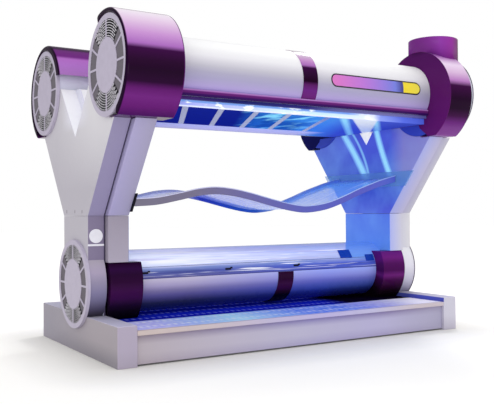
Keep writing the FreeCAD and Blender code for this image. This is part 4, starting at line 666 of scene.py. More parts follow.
def groove_paint():
    """Painted shade, grey, in the groove between the slabs, and painted light, pale, on the outer face that shows in
    the notch.
    """
    finish = coloured("groove_grey", (0.4, 0.55), 0.1)
    outer = finish.fraction(finish.sum("ABSOLUTE", finish.axis("X")), GROOVE_OUTER - 0.003, GROOVE_OUTER - 0.001)
    pale = finish.mix(finish.fraction(finish.axis("Z"), 1.3, 1.5), srgb(206, 208, 232), srgb(228, 228, 243))
    grey = finish.mix(notch_share(finish), srgb(84, 76, 104), srgb(228, 228, 246))
    finish.into("Base Color", finish.mix(outer, grey, pale))
    return finish.material


def rail_paint(face):
    """Milky bench rail in painted lamp light: grey-violet at the left end, blue-violet at the right; the rear one deep
    blue.
    """
    finish = coloured("bench_rail_%d" % face, (0.1, 0.2), 0.1)
    along = finish.fraction(finish.axis("X"), -1.05, 1.05)
    if face == FRONT:
        colours = stops((0.0, (126, 121, 140)), (0.2, (126, 120, 146)), (0.4, (114, 110, 170)),
                        (0.6, (100, 104, 190)), (0.85, (96, 100, 200)), (1.0, (96, 112, 214)))
    else:
        colours = stops((0.0, (206, 212, 238)), (0.27, (206, 210, 240)), (0.34, (150, 158, 226)), (0.38, (58, 78, 208)),
                        (0.5, (40, 88, 202)), (0.61, (38, 96, 200)), (0.66, (130, 164, 228)), (0.8, (146, 178, 236)),
                        (1.0, (110, 150, 232)))
    finish.into("Base Color", finish.ramp(along, colours, smooth=False))
    return finish.material


def clear_paint(name, colour, alpha, rough=0.04):
    finish = Finish(name, Specular_IOR_Level=0.15, Alpha=alpha)
    finish.shader.inputs["Base Color"].default_value = (*colour, 1.0)
    finish.roughness(rough, rough * 2.5, 10)
    return finish.material


def bench_clear_paint():
    """Milky bench sheet in painted lamp light, glowing: lavender at the left, clearer and bluer to the right, with
    painted pale streaks.
    """
    finish = Finish("bench_clear", Specular_IOR_Level=0.1)
    along = finish.fraction(finish.axis("X"), -1.05, 1.05)
    colour = finish.ramp(along, stops((0.0, (226, 232, 250)), (0.2, (224, 228, 250)), (0.34, (118, 128, 220)),
                                      (0.5, (116, 142, 228)), (0.64, (186, 208, 250)), (0.8, (124, 176, 244)),
                                      (0.93, (110, 176, 244)), (1.0, (84, 112, 214))), smooth=False)
    light_streak = finish.fraction(finish.noise(5.0, 3.0, (0.4, 6.0, 1.0)), 0.54, 0.66)
    colour = finish.mix(finish.sum("MULTIPLY", light_streak, 0.5), colour, srgb(224, 236, 255))
    finish.into("Base Color", colour)
    finish.into("Emission Color", colour)
    finish.shader.inputs["Emission Strength"].default_value = 0.2
    finish.into("Alpha", finish.ramp(along, [(0.0, (0.8,) * 3), (0.34, (0.85,) * 3), (0.5, (0.75,) * 3),
                                             (0.62, (0.55,) * 3), (1.0, (0.6,) * 3)], smooth=False))
    finish.roughness(0.05, 0.15, 10)
    return finish.material


def plain(name, colour, low=0.25, high=0.4, level=0.1, scale=30.0, **sockets):
    """One colour with a little unevenness in tone and gloss."""
    finish = Finish(name, Specular_IOR_Level=level, **sockets)
    shade = tuple(channel * 0.95 for channel in colour)
    finish.into("Base Color", finish.mix(finish.fraction(finish.noise(scale), 0.35, 0.65), colour, shade))
    finish.roughness(low, high, scale)
    return finish.material


OUTER_POST_PAINT = outer_post_paint()
INNER_POST_PAINT = {side: inner_post_paint("post_inner_" + tag, side) for side, tag in SIDES}
GROOVE_GREY = groove_paint()
DECK_PAINT = deck_paint("deck_blue", 0.0)
DASH_PAINT = deck_paint("deck_dash_blue", 0.42)
# Nosing colour along X; its bluer middle is painted lamp light.
NOSING = ramp_along_x("nosing", stops((0.0, (204, 188, 182)), (0.22, (206, 192, 196)), (0.38, (198, 190, 218)),
                                      (0.55, (194, 185, 228)), (0.7, (198, 194, 226)), (0.85, (206, 194, 202)),
                                      (1.0, (203, 191, 198))))
KICK_PAINT = kick_paint()
BEAM_PAINT = beam_paint()
TRIM_PURPLE = trim_paint()
PAN_FRONT_PAINT = pan_front_paint()
LAMP_FIELD = lamp_field_paint()
DIVIDER_PAINT = plain("pan_divider", srgb(176, 192, 238), 0.15, 0.3, Alpha=0.9)
TRAY_STRIP = ramp_along_x("tray_strip", stops((0.0, (86, 40, 120)), (0.14, (80, 43, 122)), (0.28, (36, 40, 112)),
                                              (0.5, (52, 48, 138)), (0.6, (110, 112, 180)), (0.75, (130, 128, 190)),
                                              (1.0, (90, 88, 180))))
REAR_RAIL_PAINT = ramp_along_x("tray_rear_rail", stops((0.0, (150, 142, 175)), (0.25, (172, 162, 198)),
                                                       (0.4, (198, 198, 222)), (0.6, (188, 196, 228)),
                                                       (0.8, (184, 192, 218)), (0.86, (40, 66, 168)),
                                                       (1.0, (34, 60, 160))))
# Colour across the collar's width: painted shade on its left side and a painted highlight right of its middle.
COLLAR_PAINT = ramp_along_x("collar_purple", stops((0.0, (110, 40, 125)), (0.89, (108, 40, 122)), (0.93, (144, 58, 166)),
                                                   (0.965, (150, 53, 158)), (0.99, (128, 70, 124)), (1.0, (128, 78, 122))),
                            (0.15, 0.25), 0.08)
RAIL_PAINT = {face: rail_paint(face) for face in (FRONT, REAR)}
GRILLE_WHITE = plain("grille_white", srgb(192, 184, 205), 0.25, 0.35)
GRILLE_MESH = plain("grille_mesh", srgb(112, 107, 116), 0.5, 0.7, scale=240.0)
LOUVRE_WHITE = plain("louvre_white", srgb(232, 229, 238), 0.3, 0.4)
DARK = plain("dark_inside", srgb(18, 14, 24), 0.5, 0.7)
BLACK_PLASTIC = plain("black_plastic", srgb(26, 24, 30), 0.35, 0.5)
PANEL_WHITE = plain("panel_white", srgb(206, 200, 220))
BENCH_CLEAR = bench_clear_paint()
# Pale strip along the top of each bench rail: a painted highlight.
RAIL_HIGHLIGHT = ramp_along_x("bench_rail_edge", stops((0.0, (222, 220, 244)), (0.35, (206, 206, 240)),
                                                  (0.5, (176, 190, 240)), (0.7, (186, 206, 250)),
                                                  (1.0, (150, 184, 246))), (0.05, 0.15), 0.1)
BRACKET_CLEAR = clear_paint("bracket_clear", srgb(130, 186, 242), 0.42)
LOWER_CLEAR = lower_cover_paint()
SEAM_BLUE = plain("cover_seam", srgb(56, 60, 128), 0.2, 0.3)
HOLDER_BLUE = plain("end_holder", srgb(20, 66, 180), 0.2, 0.35)
EMBLEM_WHITE = plain("emblem_white", srgb(236, 235, 244), 0.2, 0.3)
STEEL = plain("steel", srgb(120, 120, 128), 0.3, 0.45, 0.4, Metallic=0.8)
MOTOR_GREY = plain("motor_grey", srgb(96, 96, 104), 0.35, 0.5, 0.3)
LAMP_GLASS = plain("lamp_glass", srgb(90, 140, 240), 0.08, 0.15, 0.3, Emission_Strength=0.3)
SLOT_GREY = plain("slot_grey", srgb(120, 114, 126), 0.4, 0.5)


# ---- shrouds -------------------------------------------------------------------------------
def mirrored(parts, face):
    """The same shape on the other side of the middle plane y = 0 when face is REAR."""
    points, faces = parts
    points = np.asarray(points, float).copy()
    if face == REAR:
        points[:, 1] *= -1
        faces = [quad[::-1] for quad in faces]
    return points, faces


def lofted_arc(profile, start, stop, steps):
    """A closed profile of (x, radius, share) carried round an axis that moves between two centres.

    Share 0 turns about the shroud axis and 1 about the drum axis. Point = (x, cy + radius *
    cos(angle), cz + radius * sin(angle)), with the centre blended by the share.
    """
    x, r, share = np.asarray(profile, float).T
    a = np.radians(np.linspace(start, stop, steps))[:, None]
    cy = -(SHROUD_Y + share * (DRUM_Y - SHROUD_Y))
    cz = SHROUD_Z + share * (DRUM_Z - SHROUD_Z)
    points = np.stack(np.broadcast_arrays(x[None, :], cy + r * np.cos(a), cz + r * np.sin(a)), -1)
    rows, columns = points.shape[:2]
    faces = grid_faces(rows, columns, wrap_columns=True)
    faces.append(list(range(columns - 1, -1, -1)))
    faces.append([(rows - 1) * columns + k for k in range(columns)])
    return points.reshape(-1, 3), faces


SHROUD_WALL = 0.003
ARC_LOW = math.degrees(math.asin((SHROUD_EDGE - SHROUD_Z) / SHROUD_R))
ARC_HIGH = 180 - math.degrees(math.asin((SHROUD_FLOOR - SHROUD_Z) / SHROUD_R))
CHORD_Y = -SHROUD_Y + SHROUD_R * math.cos(math.radians(ARC_HIGH))
ROLL = 0.016
SWEEP = 0.065
PLATE_CORNERS = ((-0.677, SHROUD_FLOOR), (-0.597, 1.442), (-0.585, 1.467), (-0.300, 1.467), (-0.300, SHROUD_EDGE))


def rolled(x, radius, roll, steps=6):
    """Quarter circle at the outer edge of a wall: (x, radius) from the barrel to the end face."""
    turn = np.linspace(0, math.pi / 2, steps)
    return np.column_stack([x - roll + roll * np.sin(turn), radius - roll + roll * np.cos(turn)])


def shroud_parts(side, face):
    """Barrel with a rolled outer end and rim, flat lip over the arm, and the plate at the inner end."""
    start, stop = SHROUD_IN[side], SHROUD_OUT[side]
    rim_back = 0.006
    edge = rolled(stop, SHROUD_R, ROLL)
    profile = [(start, SHROUD_R, 0)] + [(x, r, 0) for x, r in edge]
    inner_edge = 0.2895 if side == LEFT else 0.2855
    profile += [(stop, inner_edge + 0.006, 1), (stop - rim_back, inner_edge, 1),
                (stop - rim_back - SHROUD_WALL, inner_edge, 1), (stop - SHROUD_WALL, inner_edge + 0.010, 1),
                (stop - SHROUD_WALL - ROLL * 0.4, SHROUD_R - ROLL, 0),
                (stop - ROLL - SHROUD_WALL, SHROUD_R - SHROUD_WALL, 0), (start, SHROUD_R - SHROUD_WALL, 0)]
    barrel = lofted_arc([(side * x, r, s) for x, r, s in profile], ARC_LOW, ARC_HIGH, 121)
    if face == FRONT:
        barrel = swept_back(*barrel, side * start, stop - start)
    x_low, x_high = sorted((side * start, side * (stop - ROLL)))
    lip = box_solid((x_low, CHORD_Y + 0.001, SHROUD_FLOOR), (x_high, -SHROUD_LIP, SHROUD_FLOOR + SHROUD_WALL))
    outline = np.concatenate([arc(-SHROUD_Y, SHROUD_Z, SHROUD_R - 0.0005, ARC_LOW, ARC_HIGH, 121),
                              np.array(PLATE_CORNERS)])
    plate_low, plate_high = sorted((side * start, side * (start + SHROUD_WALL)))
    plate = swept_outline(outline, plate_low, plate_high)
    return [mirrored(part, face) for part in (barrel, lip, plate)]


def swept_back(points, faces, start, length):
    """Draws the outer end of a barrel in by up to SWEEP where it turns over to the rear.

    x' = start + (x - start) * (1 - SWEEP / length * s), s easing from 0 at 75 degrees to 1 at 45.
    """
    turn = np.degrees(np.arctan2(points[:, 2] - SHROUD_Z, points[:, 1] + SHROUD_Y))
    share = np.clip((75 - turn) / 30, 0, 1) * (turn > -60)
    share = share ** 2 * (3 - 2 * share)
    points = points.copy()
    points[:, 0] = start + (points[:, 0] - start) * (1 - SWEEP / length * share)
    return points, faces


def make_shrouds():
    for side, tag in SIDES:
        for face, row, body in ((FRONT, "front", "canopy"), (REAR, "rear", "stand")):
            node = "%s_shroud_%s" % (row, tag)
            shroud = piece(node + "_look", *joined(shroud_parts(side, face)),
                           SHROUD_PAINT[(row, tag)], body, node)
            bevelled(shroud, 0.0012, 2, 40)


make_shrouds()


# ---- grilles and drum casings --------------------------------------------------------------
GRILLE_RIM_R = 0.255
HUB_R = 0.155
SPOKE_HALF = 0.006
LOUVRE_ROWS = 7


def ring_solid(side, x_in, x_out, inner, outer, centre_y, centre_z, steps=129, edge=0.0008):
    """Flat ring with small chamfers on its outer face."""
    profile = [(x_in, inner), (x_out - edge, inner), (x_out, inner + edge), (x_out, outer - edge),
               (x_out - edge, outer), (x_in, outer)]
    return swept_arc([(side * x, r) for x, r in profile], centre_y, centre_z, 0, TURN, steps)


def bar_solid(side, x_in, x_out, centre_y, centre_z, start, stop, half, turn):
    """Straight bar from one radius to another at an angle in degrees."""
    along = np.array([math.cos(math.radians(turn)), math.sin(math.radians(turn))])
    across = np.array([-along[1], along[0]]) * half
    centre = np.array([centre_y, centre_z])
    outline = [centre + along * start - across, centre + along * stop - across,
               centre + along * stop + across, centre + along * start + across]
    low, high = sorted((side * x_in, side * x_out))
    return swept_outline(outline, low, high)


def arc_slat(side, x_in, x_out, inner, outer, centre_y, centre_z, start, stop):
    """One louvre: a short curved bar between two angles in degrees."""
    steps = max(3, int((stop - start) / 2.5))
    low, high = sorted((side * x_in, side * x_out))
    outline = np.concatenate([arc(centre_y, centre_z, outer, start, stop, steps),
                              arc(centre_y, centre_z, inner, stop, start, steps)])
    return swept_outline(outline, low, high)


def make_grille(label, node, side, x_back, x_face, radius, centre_y, centre_z, body):
    """Rim, hub, twelve spokes, a fine mesh behind the side windows and bricked louvres above and below."""
    rim = radius - (GRILLE_R - GRILLE_RIM_R)
    face = [ring_solid(side, x_face - 0.004, x_face, rim, radius, centre_y, centre_z),
            ring_solid(side, x_back, x_face - 0.004, radius - 0.006, radius, centre_y, centre_z),
            ring_solid(side, x_face - 0.004, x_face, 0.002, HUB_R, centre_y, centre_z)]
    sunk = []
    for index in range(12):
        behind = index in (2, 4, 8, 10)
        bar = bar_solid(side, x_face - 0.004, x_face - (0.0025 if behind else 0.0005), centre_y, centre_z,
                        HUB_R - 0.004, rim + 0.004, SPOKE_HALF, 30 * index)
        (sunk if behind else face).append(bar)
    look = piece(label + "_frame", *joined(face), GRILLE_WHITE, body, node, smooth=False)
    tidy_normals(look)
    depth = 0.0025
    back = piece(label + "_back", *joined(sunk + [ring_solid(side, x_face - depth - 0.004, x_face - depth - 0.002,
                                                             0.02, radius - 0.006, centre_y, centre_z)]),
                 GRILLE_MESH, body, node, smooth=False)
    tidy_normals(back)
    shadow = [arc_slat(side, x_face - depth - 0.002, x_face - depth - 0.0015, HUB_R, rim, centre_y, centre_z,
                       middle - 45, middle + 45) for middle in (90, 270)]
    tidy_normals(piece(label + "_shadow", *joined(shadow), DARK, body, node, smooth=False))
    slats = []
    pitch = (rim - HUB_R) / LOUVRE_ROWS
    for row in range(LOUVRE_ROWS):
        inner = HUB_R + pitch * (row + 0.38)
        outer = HUB_R + pitch * (row + 0.62)
        shift = 5.0 * (row % 2)
        for middle in (90, 270):
            for start in np.arange(middle - 43 + shift, middle + 43 - 3, 10.0):
                stop = min(start + 8.0, middle + 43)
                slats.append(arc_slat(side, x_face - depth - 0.002, x_face - 0.0008, inner, outer, centre_y,
                                      centre_z, start, stop))
    louvres = piece(label + "_louvres", *joined(slats), LOUVRE_WHITE, body, node, smooth=False)
    tidy_normals(louvres)


def make_casing(label, node, side, x_in, x_out, radius, centre_y, centre_z, paint, body):
    """Open drum wall with a floor at its inner end."""
    wall = 0.003
    edge = rolled(x_out, radius, 0.004)
    profile = [(x_in, 0.06), (x_in, radius)] + [tuple(p) for p in edge]
    profile += [(x_out, radius - 0.004 - wall), (x_in + wall, radius - wall), (x_in + wall, 0.06)]
    drum = swept_arc([(side * x, r) for x, r in profile], centre_y, centre_z, 0, TURN, 161)
    thing = piece(label, *drum, paint, body, node)
    bevelled(thing, 0.0006, 1, 40)


def make_drums():
    for side, tag in SIDES:
        out = 1 if side == RIGHT else 0
        for face, row, body in ((FRONT, "front", "canopy"), (REAR, "rear", "stand")):
            node = "%s_grille_%s" % (row, tag)
            x_back = abs(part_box(node)[1 - out][0])
            x_face = abs(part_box(node)[out][0])
            make_grille(node, node, side, x_back, x_face, GRILLE_R, face * DRUM_Y, DRUM_Z, body)
            casing = "front_drum_casing_" + tag if face == FRONT else "rear_drum_casings"
            make_casing("%s_casing_%s" % (row, tag), casing, side, SHROUD_IN[side] + 0.0035, HALF_LENGTH,
                        DRUM_R, face * DRUM_Y, DRUM_Z, CASING_WHITE, body)
        depth = abs(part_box("front_grille_" + tag)[out][0]) - HALF_LENGTH
        make_grille("lower_grille_" + tag, "lower_grilles", side, HALF_LENGTH + 0.0003, HALF_LENGTH + depth,
                    LOWER_GRILLE_R, 0.0, LOWER_Z, "stand")
        make_casing("lower_casing_" + tag, "lower_drum_casings", side, GROOVE_OUTER + 0.0003, HALF_LENGTH,
                    LOWER_DRUM_R, 0.0, LOWER_Z, LOWER_CASING_WHITE, "stand")


make_drums()


# ---- canopy --------------------------------------------------------------------------------
def tube_outline(radius, face, steps=121):
    """Circle cut flat above the lamp tray, as (y, z) points from one side to the other."""
    low = math.degrees(math.asin((TUBE_FLOOR - TUBE_Z) / radius))
    return arc(face * TUBE_Y, TUBE_Z, radius, low, 180 - low, steps)


def shell_outline(radius, wall, face):
    """Closed outline of a thin tube wall."""
    return np.concatenate([tube_outline(radius, face), tube_outline(radius - wall, face)[::-1]])


def make_tubes():
    low, high = CANOPY_LOW, CANOPY_HIGH
    front = piece("front_tube_look", *swept_outline(shell_outline(TUBE_R, 0.003, FRONT), low, high),
                  TUBE_WHITE, "canopy", "front_tube")
    bevelled(front, 0.0005, 1, 40)
    rear = piece("rear_tube_look", *swept_outline(shell_outline(TUBE_R, 0.003, REAR), low, high),
                 TUBE_WHITE, "canopy", "rear_tube")
    bevelled(rear, 0.0005, 1, 40)
    band = piece("canopy_band_look", *swept_outline(shell_outline(TUBE_R + 0.004, 0.0037, FRONT), -0.056, 0.056),
                 CANOPY_BAND_PURPLE, "canopy", "canopy_band")
    bevelled(band, 0.001, 2, 40)


BADGE_LOW, BADGE_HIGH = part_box("tube_badge")[0][0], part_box("tube_badge")[1][0]


def stadium(start, stop, middle, half, steps=24):
    """Outline of a strip with round ends in (x, angle-length), anticlockwise."""
    right = np.radians(np.linspace(-90, 90, steps))
    left = np.radians(np.linspace(90, 270, steps))
    return np.concatenate([np.column_stack([stop - half + half * np.cos(right), middle + half * np.sin(right)]),
                           np.column_stack([start + half + half * np.cos(left), middle + half * np.sin(left)])])


def wrapped_patch(outline, radius, thickness, centre_y, centre_z, rows=12):
    """A flat outline in (x, length round the tube) laid on the tube and given thickness.

    Each x of the outline is paired with its two edges; rows between them follow the tube.
    Point = (x, centre_y - radius * cos(length / radius), centre_z + radius * sin(length / radius)).
    """
    half = len(outline) // 2
    order = np.argsort(outline[:, 0])
    xs = np.unique(np.round(outline[order, 0], 6))
    middle = (outline[:, 1].max() + outline[:, 1].min()) / 2
    reach = (outline[:, 1].max() - outline[:, 1].min()) / 2
    ends = outline[:, 0].min() + reach, outline[:, 0].max() - reach
    over = np.clip(np.maximum(ends[0] - xs, xs - ends[1]) / reach, 0, 1)
    tall = reach * np.sqrt(np.maximum(1 - over ** 2, 1e-4))
    share = np.linspace(-1, 1, rows)
    length = middle + tall[:, None] * share[None, :]
    grids = []
    for r in (radius, radius + thickness):
        turn = length / radius
        grids.append(np.stack([np.broadcast_to(xs[:, None], turn.shape), centre_y - r * np.cos(turn),
                               centre_z + r * np.sin(turn)], -1).reshape(-1, 3))
    count = len(xs)
    top = grid_faces(count, rows, start=count * rows)
    bottom = [quad[::-1] for quad in grid_faces(count, rows)]
    walls = []
    loop = [k * rows for k in range(count)] + [(count - 1) * rows + k for k in range(1, rows)]
    loop += [k * rows + rows - 1 for k in range(count - 2, -1, -1)] + list(range(rows - 2, 0, -1))
    for k, here in enumerate(loop):
        following = loop[(k + 1) % len(loop)]
        walls.append([here, following, following + count * rows, here + count * rows])
    return np.concatenate(grids), bottom + top + walls


def badge_colours():
    """Pink at the left through lilac to blue, then yellow at the right end."""
    finish = Finish("badge_colours", Roughness=0.2)
    along = finish.fraction(finish.axis("X"), BADGE_LOW, BADGE_HIGH)
    finish.into("Base Color", finish.ramp(along, ((0.0, srgb(225, 120, 200)), (0.35, srgb(190, 120, 220)),
                                                  (0.70, srgb(120, 130, 230)), (0.79, srgb(60, 60, 140)),
                                                  (0.80, srgb(250, 225, 40)), (1.0, srgb(250, 235, 90))),
                                          smooth=False))
    return finish.material


BADGE_BLACK = Finish("badge_black", Base_Color=(0.01, 0.01, 0.02, 1), Roughness=0.15).material
BADGE_COLOURS = badge_colours()


def make_badge():
    """Black strip with round ends on the tube, a coloured inlay in it and a yellow right end."""
    middle = math.radians(5.5) * TUBE_R
    half = math.radians(11.5) * TUBE_R
    base = wrapped_patch(stadium(BADGE_LOW, BADGE_HIGH, middle, half), TUBE_R + 0.0003, 0.0016,
                         -TUBE_Y, TUBE_Z)
    tidy_normals(piece("badge_base", *base, BADGE_BLACK, "canopy", "tube_badge"))
    inlay = wrapped_patch(stadium(BADGE_LOW + 0.008, BADGE_HIGH - 0.008, middle, half - 0.008),
                          TUBE_R + 0.0019, 0.0006, -TUBE_Y, TUBE_Z)
    tidy_normals(piece("badge_inlay", *inlay, BADGE_COLOURS, "canopy", "tube_badge"))


make_tubes()
make_badge()


TRAY_FLOOR, PAN_FLOOR = 1.507, 1.467
TRAY_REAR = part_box("canopy_tray")[1][1]
TRIM_FRONT = -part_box("canopy_trim")[0][1]


def make_trim():
    low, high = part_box("canopy_trim")
    trim = piece("canopy_trim_look", *box_solid(low, high), TRIM_PURPLE, "canopy", "canopy_trim", smooth=True)
    bevelled(trim, 0.006, 4)
    strip = piece("tray_front_strip", *box_solid((CANOPY_LOW, -0.664, TRAY_FLOOR), (CANOPY_HIGH, -0.640, 1.526)),
                  TRAY_STRIP, "canopy", "canopy_tray")
    bevelled(strip, 0.001, 1)
    rail = piece("tray_rear_rail", *box_solid((CANOPY_LOW, TRAY_REAR - 0.02, PAN_FLOOR),
                                              (CANOPY_HIGH, TRAY_REAR, TUBE_FLOOR - 0.0003)),
                 REAR_RAIL_PAINT, "canopy", "canopy_tray")
    bevelled(rail, 0.004, 3)
    roof = piece("tray_roof", *box_solid((CANOPY_LOW, -0.664, TUBE_FLOOR - 0.0033),
                                         (CANOPY_HIGH, TRAY_REAR - 0.02, TUBE_FLOOR - 0.0003)),
                 PANEL_WHITE, "canopy", "canopy_tray")
    bevelled(roof, 0.001, 1)


make_trim()


# ---- posts ---------------------------------------------------------------------------------
COLUMN_HALF, BEND_RISE = 0.2628, 0.8343
ARM_TOP, WING_TOP, ARM_REACH = 1.380, 1.665, 0.598
ARM_SLOPE = 0.775
CRADLE_R = 0.2835
OUTER_HALF = COLUMN_HALF - 0.044
RING_TOP = 0.552
SEAM = 0.0012
FIN_INSET = 0.012


def half_outline(half, apex, wing_in, inset=0.0):
    """One half of the Y above the bend, as (y, z) points from the bend round to the notch.

    The arm runs out to the flat under the drum, a cradle arc follows the drum casing and the
    inner edge of the arm falls straight to the notch.
    """
    low_turn = -90 + math.degrees(math.asin((ARM_REACH - DRUM_Y) / CRADLE_R))
    high_turn = -180 + math.degrees(math.asin((DRUM_Z - WING_TOP) / CRADLE_R))
    arm_edge = half + ARM_SLOPE * (ARM_TOP - BEND_RISE)
    points = [(half, BEND_RISE + SEAM / 2), (arm_edge, ARM_TOP), (ARM_REACH, ARM_TOP)]
    points += arc(DRUM_Y, DRUM_Z, CRADLE_R + inset, low_turn, high_turn, 40).tolist()
    points += [(DRUM_Y - wing_in, WING_TOP), (0, apex)]
    return points


def full_outline(half, apex, wing_in, inset=0.0):
    """Both halves of the Y above the bend as one closed outline."""
    right = half_outline(half, apex, wing_in, inset)
    return right + [(-y, z) for y, z in right[-2::-1]]


def post_slab(name, side, x_in, x_out, half, apex, wing_in, foot, cap, node, material):
    """A column block below the bend and the Y block above it, with a fine seam between."""
    x_low, x_high = sorted((side * x_in, side * x_out))
    upper = full_outline(half, apex, wing_in)
    lower = foot_outline(half, foot, cap)
    parts = [swept_outline(upper, x_low, x_high), swept_outline(lower, x_low, x_high)]
    post = piece(name, *joined(parts), material, "stand", node, smooth=True)
    bevelled(post, 0.005, 3)


def foot_outline(half, foot, cap):
    """Column from the drum or the ring top up to the bend; cap is a radius to follow, or 0."""
    top = BEND_RISE - SEAM / 2
    if not cap:
        return [(half, foot), (half, top), (-half, top), (-half, foot)]
    turn = math.acos(min(1.0, half / cap))
    angles = np.linspace(turn, math.pi - turn, 41)
    curve = [(cap * math.cos(a), LOWER_Z + cap * math.sin(a)) for a in angles]
    return [(half, curve[0][1] + 0.001), (half, top), (-half, top), (-half, curve[-1][1] + 0.001)] + curve[::-1]


def make_slots():
    """Three small dark slots above the seam on each outer face."""
    slots = []
    for side in (LEFT, RIGHT):
        x_low, x_high = sorted((side * (POST_OUTER - 0.004), side * (POST_OUTER + 0.0004)))
        slots += [box_solid((x_low, y - 0.004, 0.851), (x_high, y + 0.004, 0.871)) for y in (-0.121, 0.010, 0.165)]
    nodes = ["post_outer_cover_" + tag for _, tag in SIDES]
    tidy_normals(piece("post_slots", *joined(slots), SLOT_GREY, "stand", nodes, smooth=False))


def make_posts():
    for side, tag in SIDES:
        post_slab("post_inner_" + tag, side, POST_INNER, GROOVE_INNER, COLUMN_HALF, 1.372, 0.3515, RING_TOP, 0,
                  "post_inner_cover_" + tag, INNER_POST_PAINT[side])
        post_slab("post_outer_" + tag, side, GROOVE_OUTER, POST_OUTER, OUTER_HALF, 1.322, 0.292, LOWER_Z,
                  LOWER_DRUM_R + 0.0004, "post_outer_cover_" + tag, OUTER_POST_PAINT)
        fin = full_outline(OUTER_HALF - FIN_INSET, 1.385, 0.362, 0.0006)
        fin = [(OUTER_HALF - FIN_INSET, BEAM_TOP + 0.001)] + fin + [(FIN_INSET - OUTER_HALF, BEAM_TOP + 0.001)]
        x_low, x_high = sorted((side * (GROOVE_INNER + 0.0002), side * (GROOVE_OUTER - 0.0002)))
        groove = piece("post_groove_" + tag, *swept_outline(fin, x_low, x_high), GROOVE_GREY, "stand",
                       "post_core_" + tag, smooth=False)
        tidy_normals(groove)


make_posts()
make_slots()


# ---- lower lamp tube -----------------------------------------------------------------------
def ring_outline(radius, steps=121):
    """Lower ring: a circle cut flat on top, standing on the deck."""
    top = math.degrees(math.asin((RING_TOP - 0.0003 - LOWER_Z) / radius))
    foot = math.degrees(math.asin((DECK_TOP + 0.0003 - LOWER_Z) / radius))
    right = arc(0, LOWER_Z, radius, foot, top, steps)
    left = arc(0, LOWER_Z, radius, 180 - top, 180 - foot, steps)
    return np.concatenate([right, left])


def make_lower_tube():
    for side, tag in SIDES:
        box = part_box("lower_shroud_" + tag)
        ring = piece("lower_ring_" + tag, *swept_outline(ring_outline(LOWER_RING_R), box[0][0], box[1][0]),
                     RING_PURPLE, "stand", "lower_shroud_" + tag)
        bevelled(ring, 0.012, 5)
    x_low, x_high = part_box("lower_shell")[0][0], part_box("lower_shell")[1][0]
    edge = math.degrees(math.asin((SHELL_EDGE - LOWER_Z) / LOWER_TUBE_R))
    trough = np.concatenate([arc(0, LOWER_Z, LOWER_TUBE_R, 180 - edge, 360 + edge, 121),
                             arc(0, LOWER_Z, LOWER_TUBE_R - 0.003, 360 + edge, 180 - edge, 121)])
    shell = piece("trough", *swept_outline(trough, x_low, x_high), TROUGH_WHITE, "stand", "lower_shell")
    bevelled(shell, 0.0006, 2, 40)
    cover = np.concatenate([arc(0, LOWER_Z, LOWER_TUBE_R, edge + 0.1, 179.9 - edge, 121),
                            arc(0, LOWER_Z, LOWER_TUBE_R - 0.003, 179.9 - edge, edge + 0.1, 121)])
    clear = piece("lower_cover", *swept_outline(cover, x_low, x_high), LOWER_CLEAR, "stand", "lower_acrylic")
    bevelled(clear, 0.0005, 1, 40)
    band_low, band_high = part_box("lower_band")[0][0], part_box("lower_band")[1][0]
    band_edge = math.degrees(math.asin((SHELL_EDGE - LOWER_Z) / (LOWER_TUBE_R + 0.005)))
    hoop = np.concatenate([arc(0, LOWER_Z, LOWER_TUBE_R + 0.005, 180 - band_edge, 360 + band_edge, 121),
                           arc(0, LOWER_Z, LOWER_TUBE_R + 0.0004, 360 + band_edge, 180 - band_edge, 121)])
    bevelled(piece("lower_band_look", *swept_outline(hoop, band_low, band_high), LOWER_BAND_PURPLE, "stand",
                   "lower_band"), 0.001, 2, 40)


make_lower_tube()


# ---- platform ------------------------------------------------------------------------------
def make_beams():
    for side, tag in SIDES:
        inner, outer = side * BEAM_INNER, side * HALF_LENGTH
        x_low, x_high = sorted((inner, outer))
        beam = piece("beam_" + tag, *box_solid((x_low, -HALF_DEPTH, 0), (x_high, HALF_DEPTH, BEAM_TOP)),
                     BEAM_PAINT, "stand", "end_beam_" + tag)
        tidy_normals(beam)
        notch_cutter(beam, side)
        bevelled(beam, 0.004, 3)


def notch_cutter(beam, side):
    """Cuts the seat of the lower drum casing into an end beam, and applies the cut."""
    x_low, x_high = sorted((side * GROOVE_OUTER, side * (HALF_LENGTH + 0.02)))
    cutter = piece("notch_tool", *swept_outline(arc(0, LOWER_Z, LOWER_DRUM_R + 0.001, 0, 357, 120), x_low, x_high),
                   DARK, "stand")
    tidy_normals(cutter)
    boolean = beam.modifiers.new("notch", "BOOLEAN")
    boolean.object = cutter
    boolean.solver = "EXACT"
    applied = bpy.data.meshes.new_from_object(beam.evaluated_get(bpy.context.evaluated_depsgraph_get()))
    beam.modifiers.clear()
    beam.data = applied
    bpy.data.objects.remove(cutter)


def dash_grid(x_places, y_places, x_half, y_half, z_low, z_high):
    """Raised dashes on the deck as one mesh: small blocks with sloping sides, worked out as one array."""
    x, y = np.meshgrid(x_places, y_places, indexing="ij")
    centre = np.stack([x.ravel(), y.ravel(), np.zeros(x.size)], -1)[:, None, :]
    base = np.array([(-1, -1), (1, -1), (1, 1), (-1, 1)], float)
    low = np.column_stack([base * (x_half, y_half), np.full(4, z_low)])
    high = np.column_stack([base * (x_half * 0.8, y_half * 0.6), np.full(4, z_high)])
    points = (centre + np.concatenate([low, high])[None]).reshape(-1, 3)
    quads = np.array([(4, 5, 6, 7), (0, 1, 5, 4), (1, 2, 6, 5), (2, 3, 7, 6), (3, 0, 4, 7)])
    faces = (quads[None] + 8 * np.arange(x.size)[:, None, None]).reshape(-1, 4)
    return points, faces.tolist()


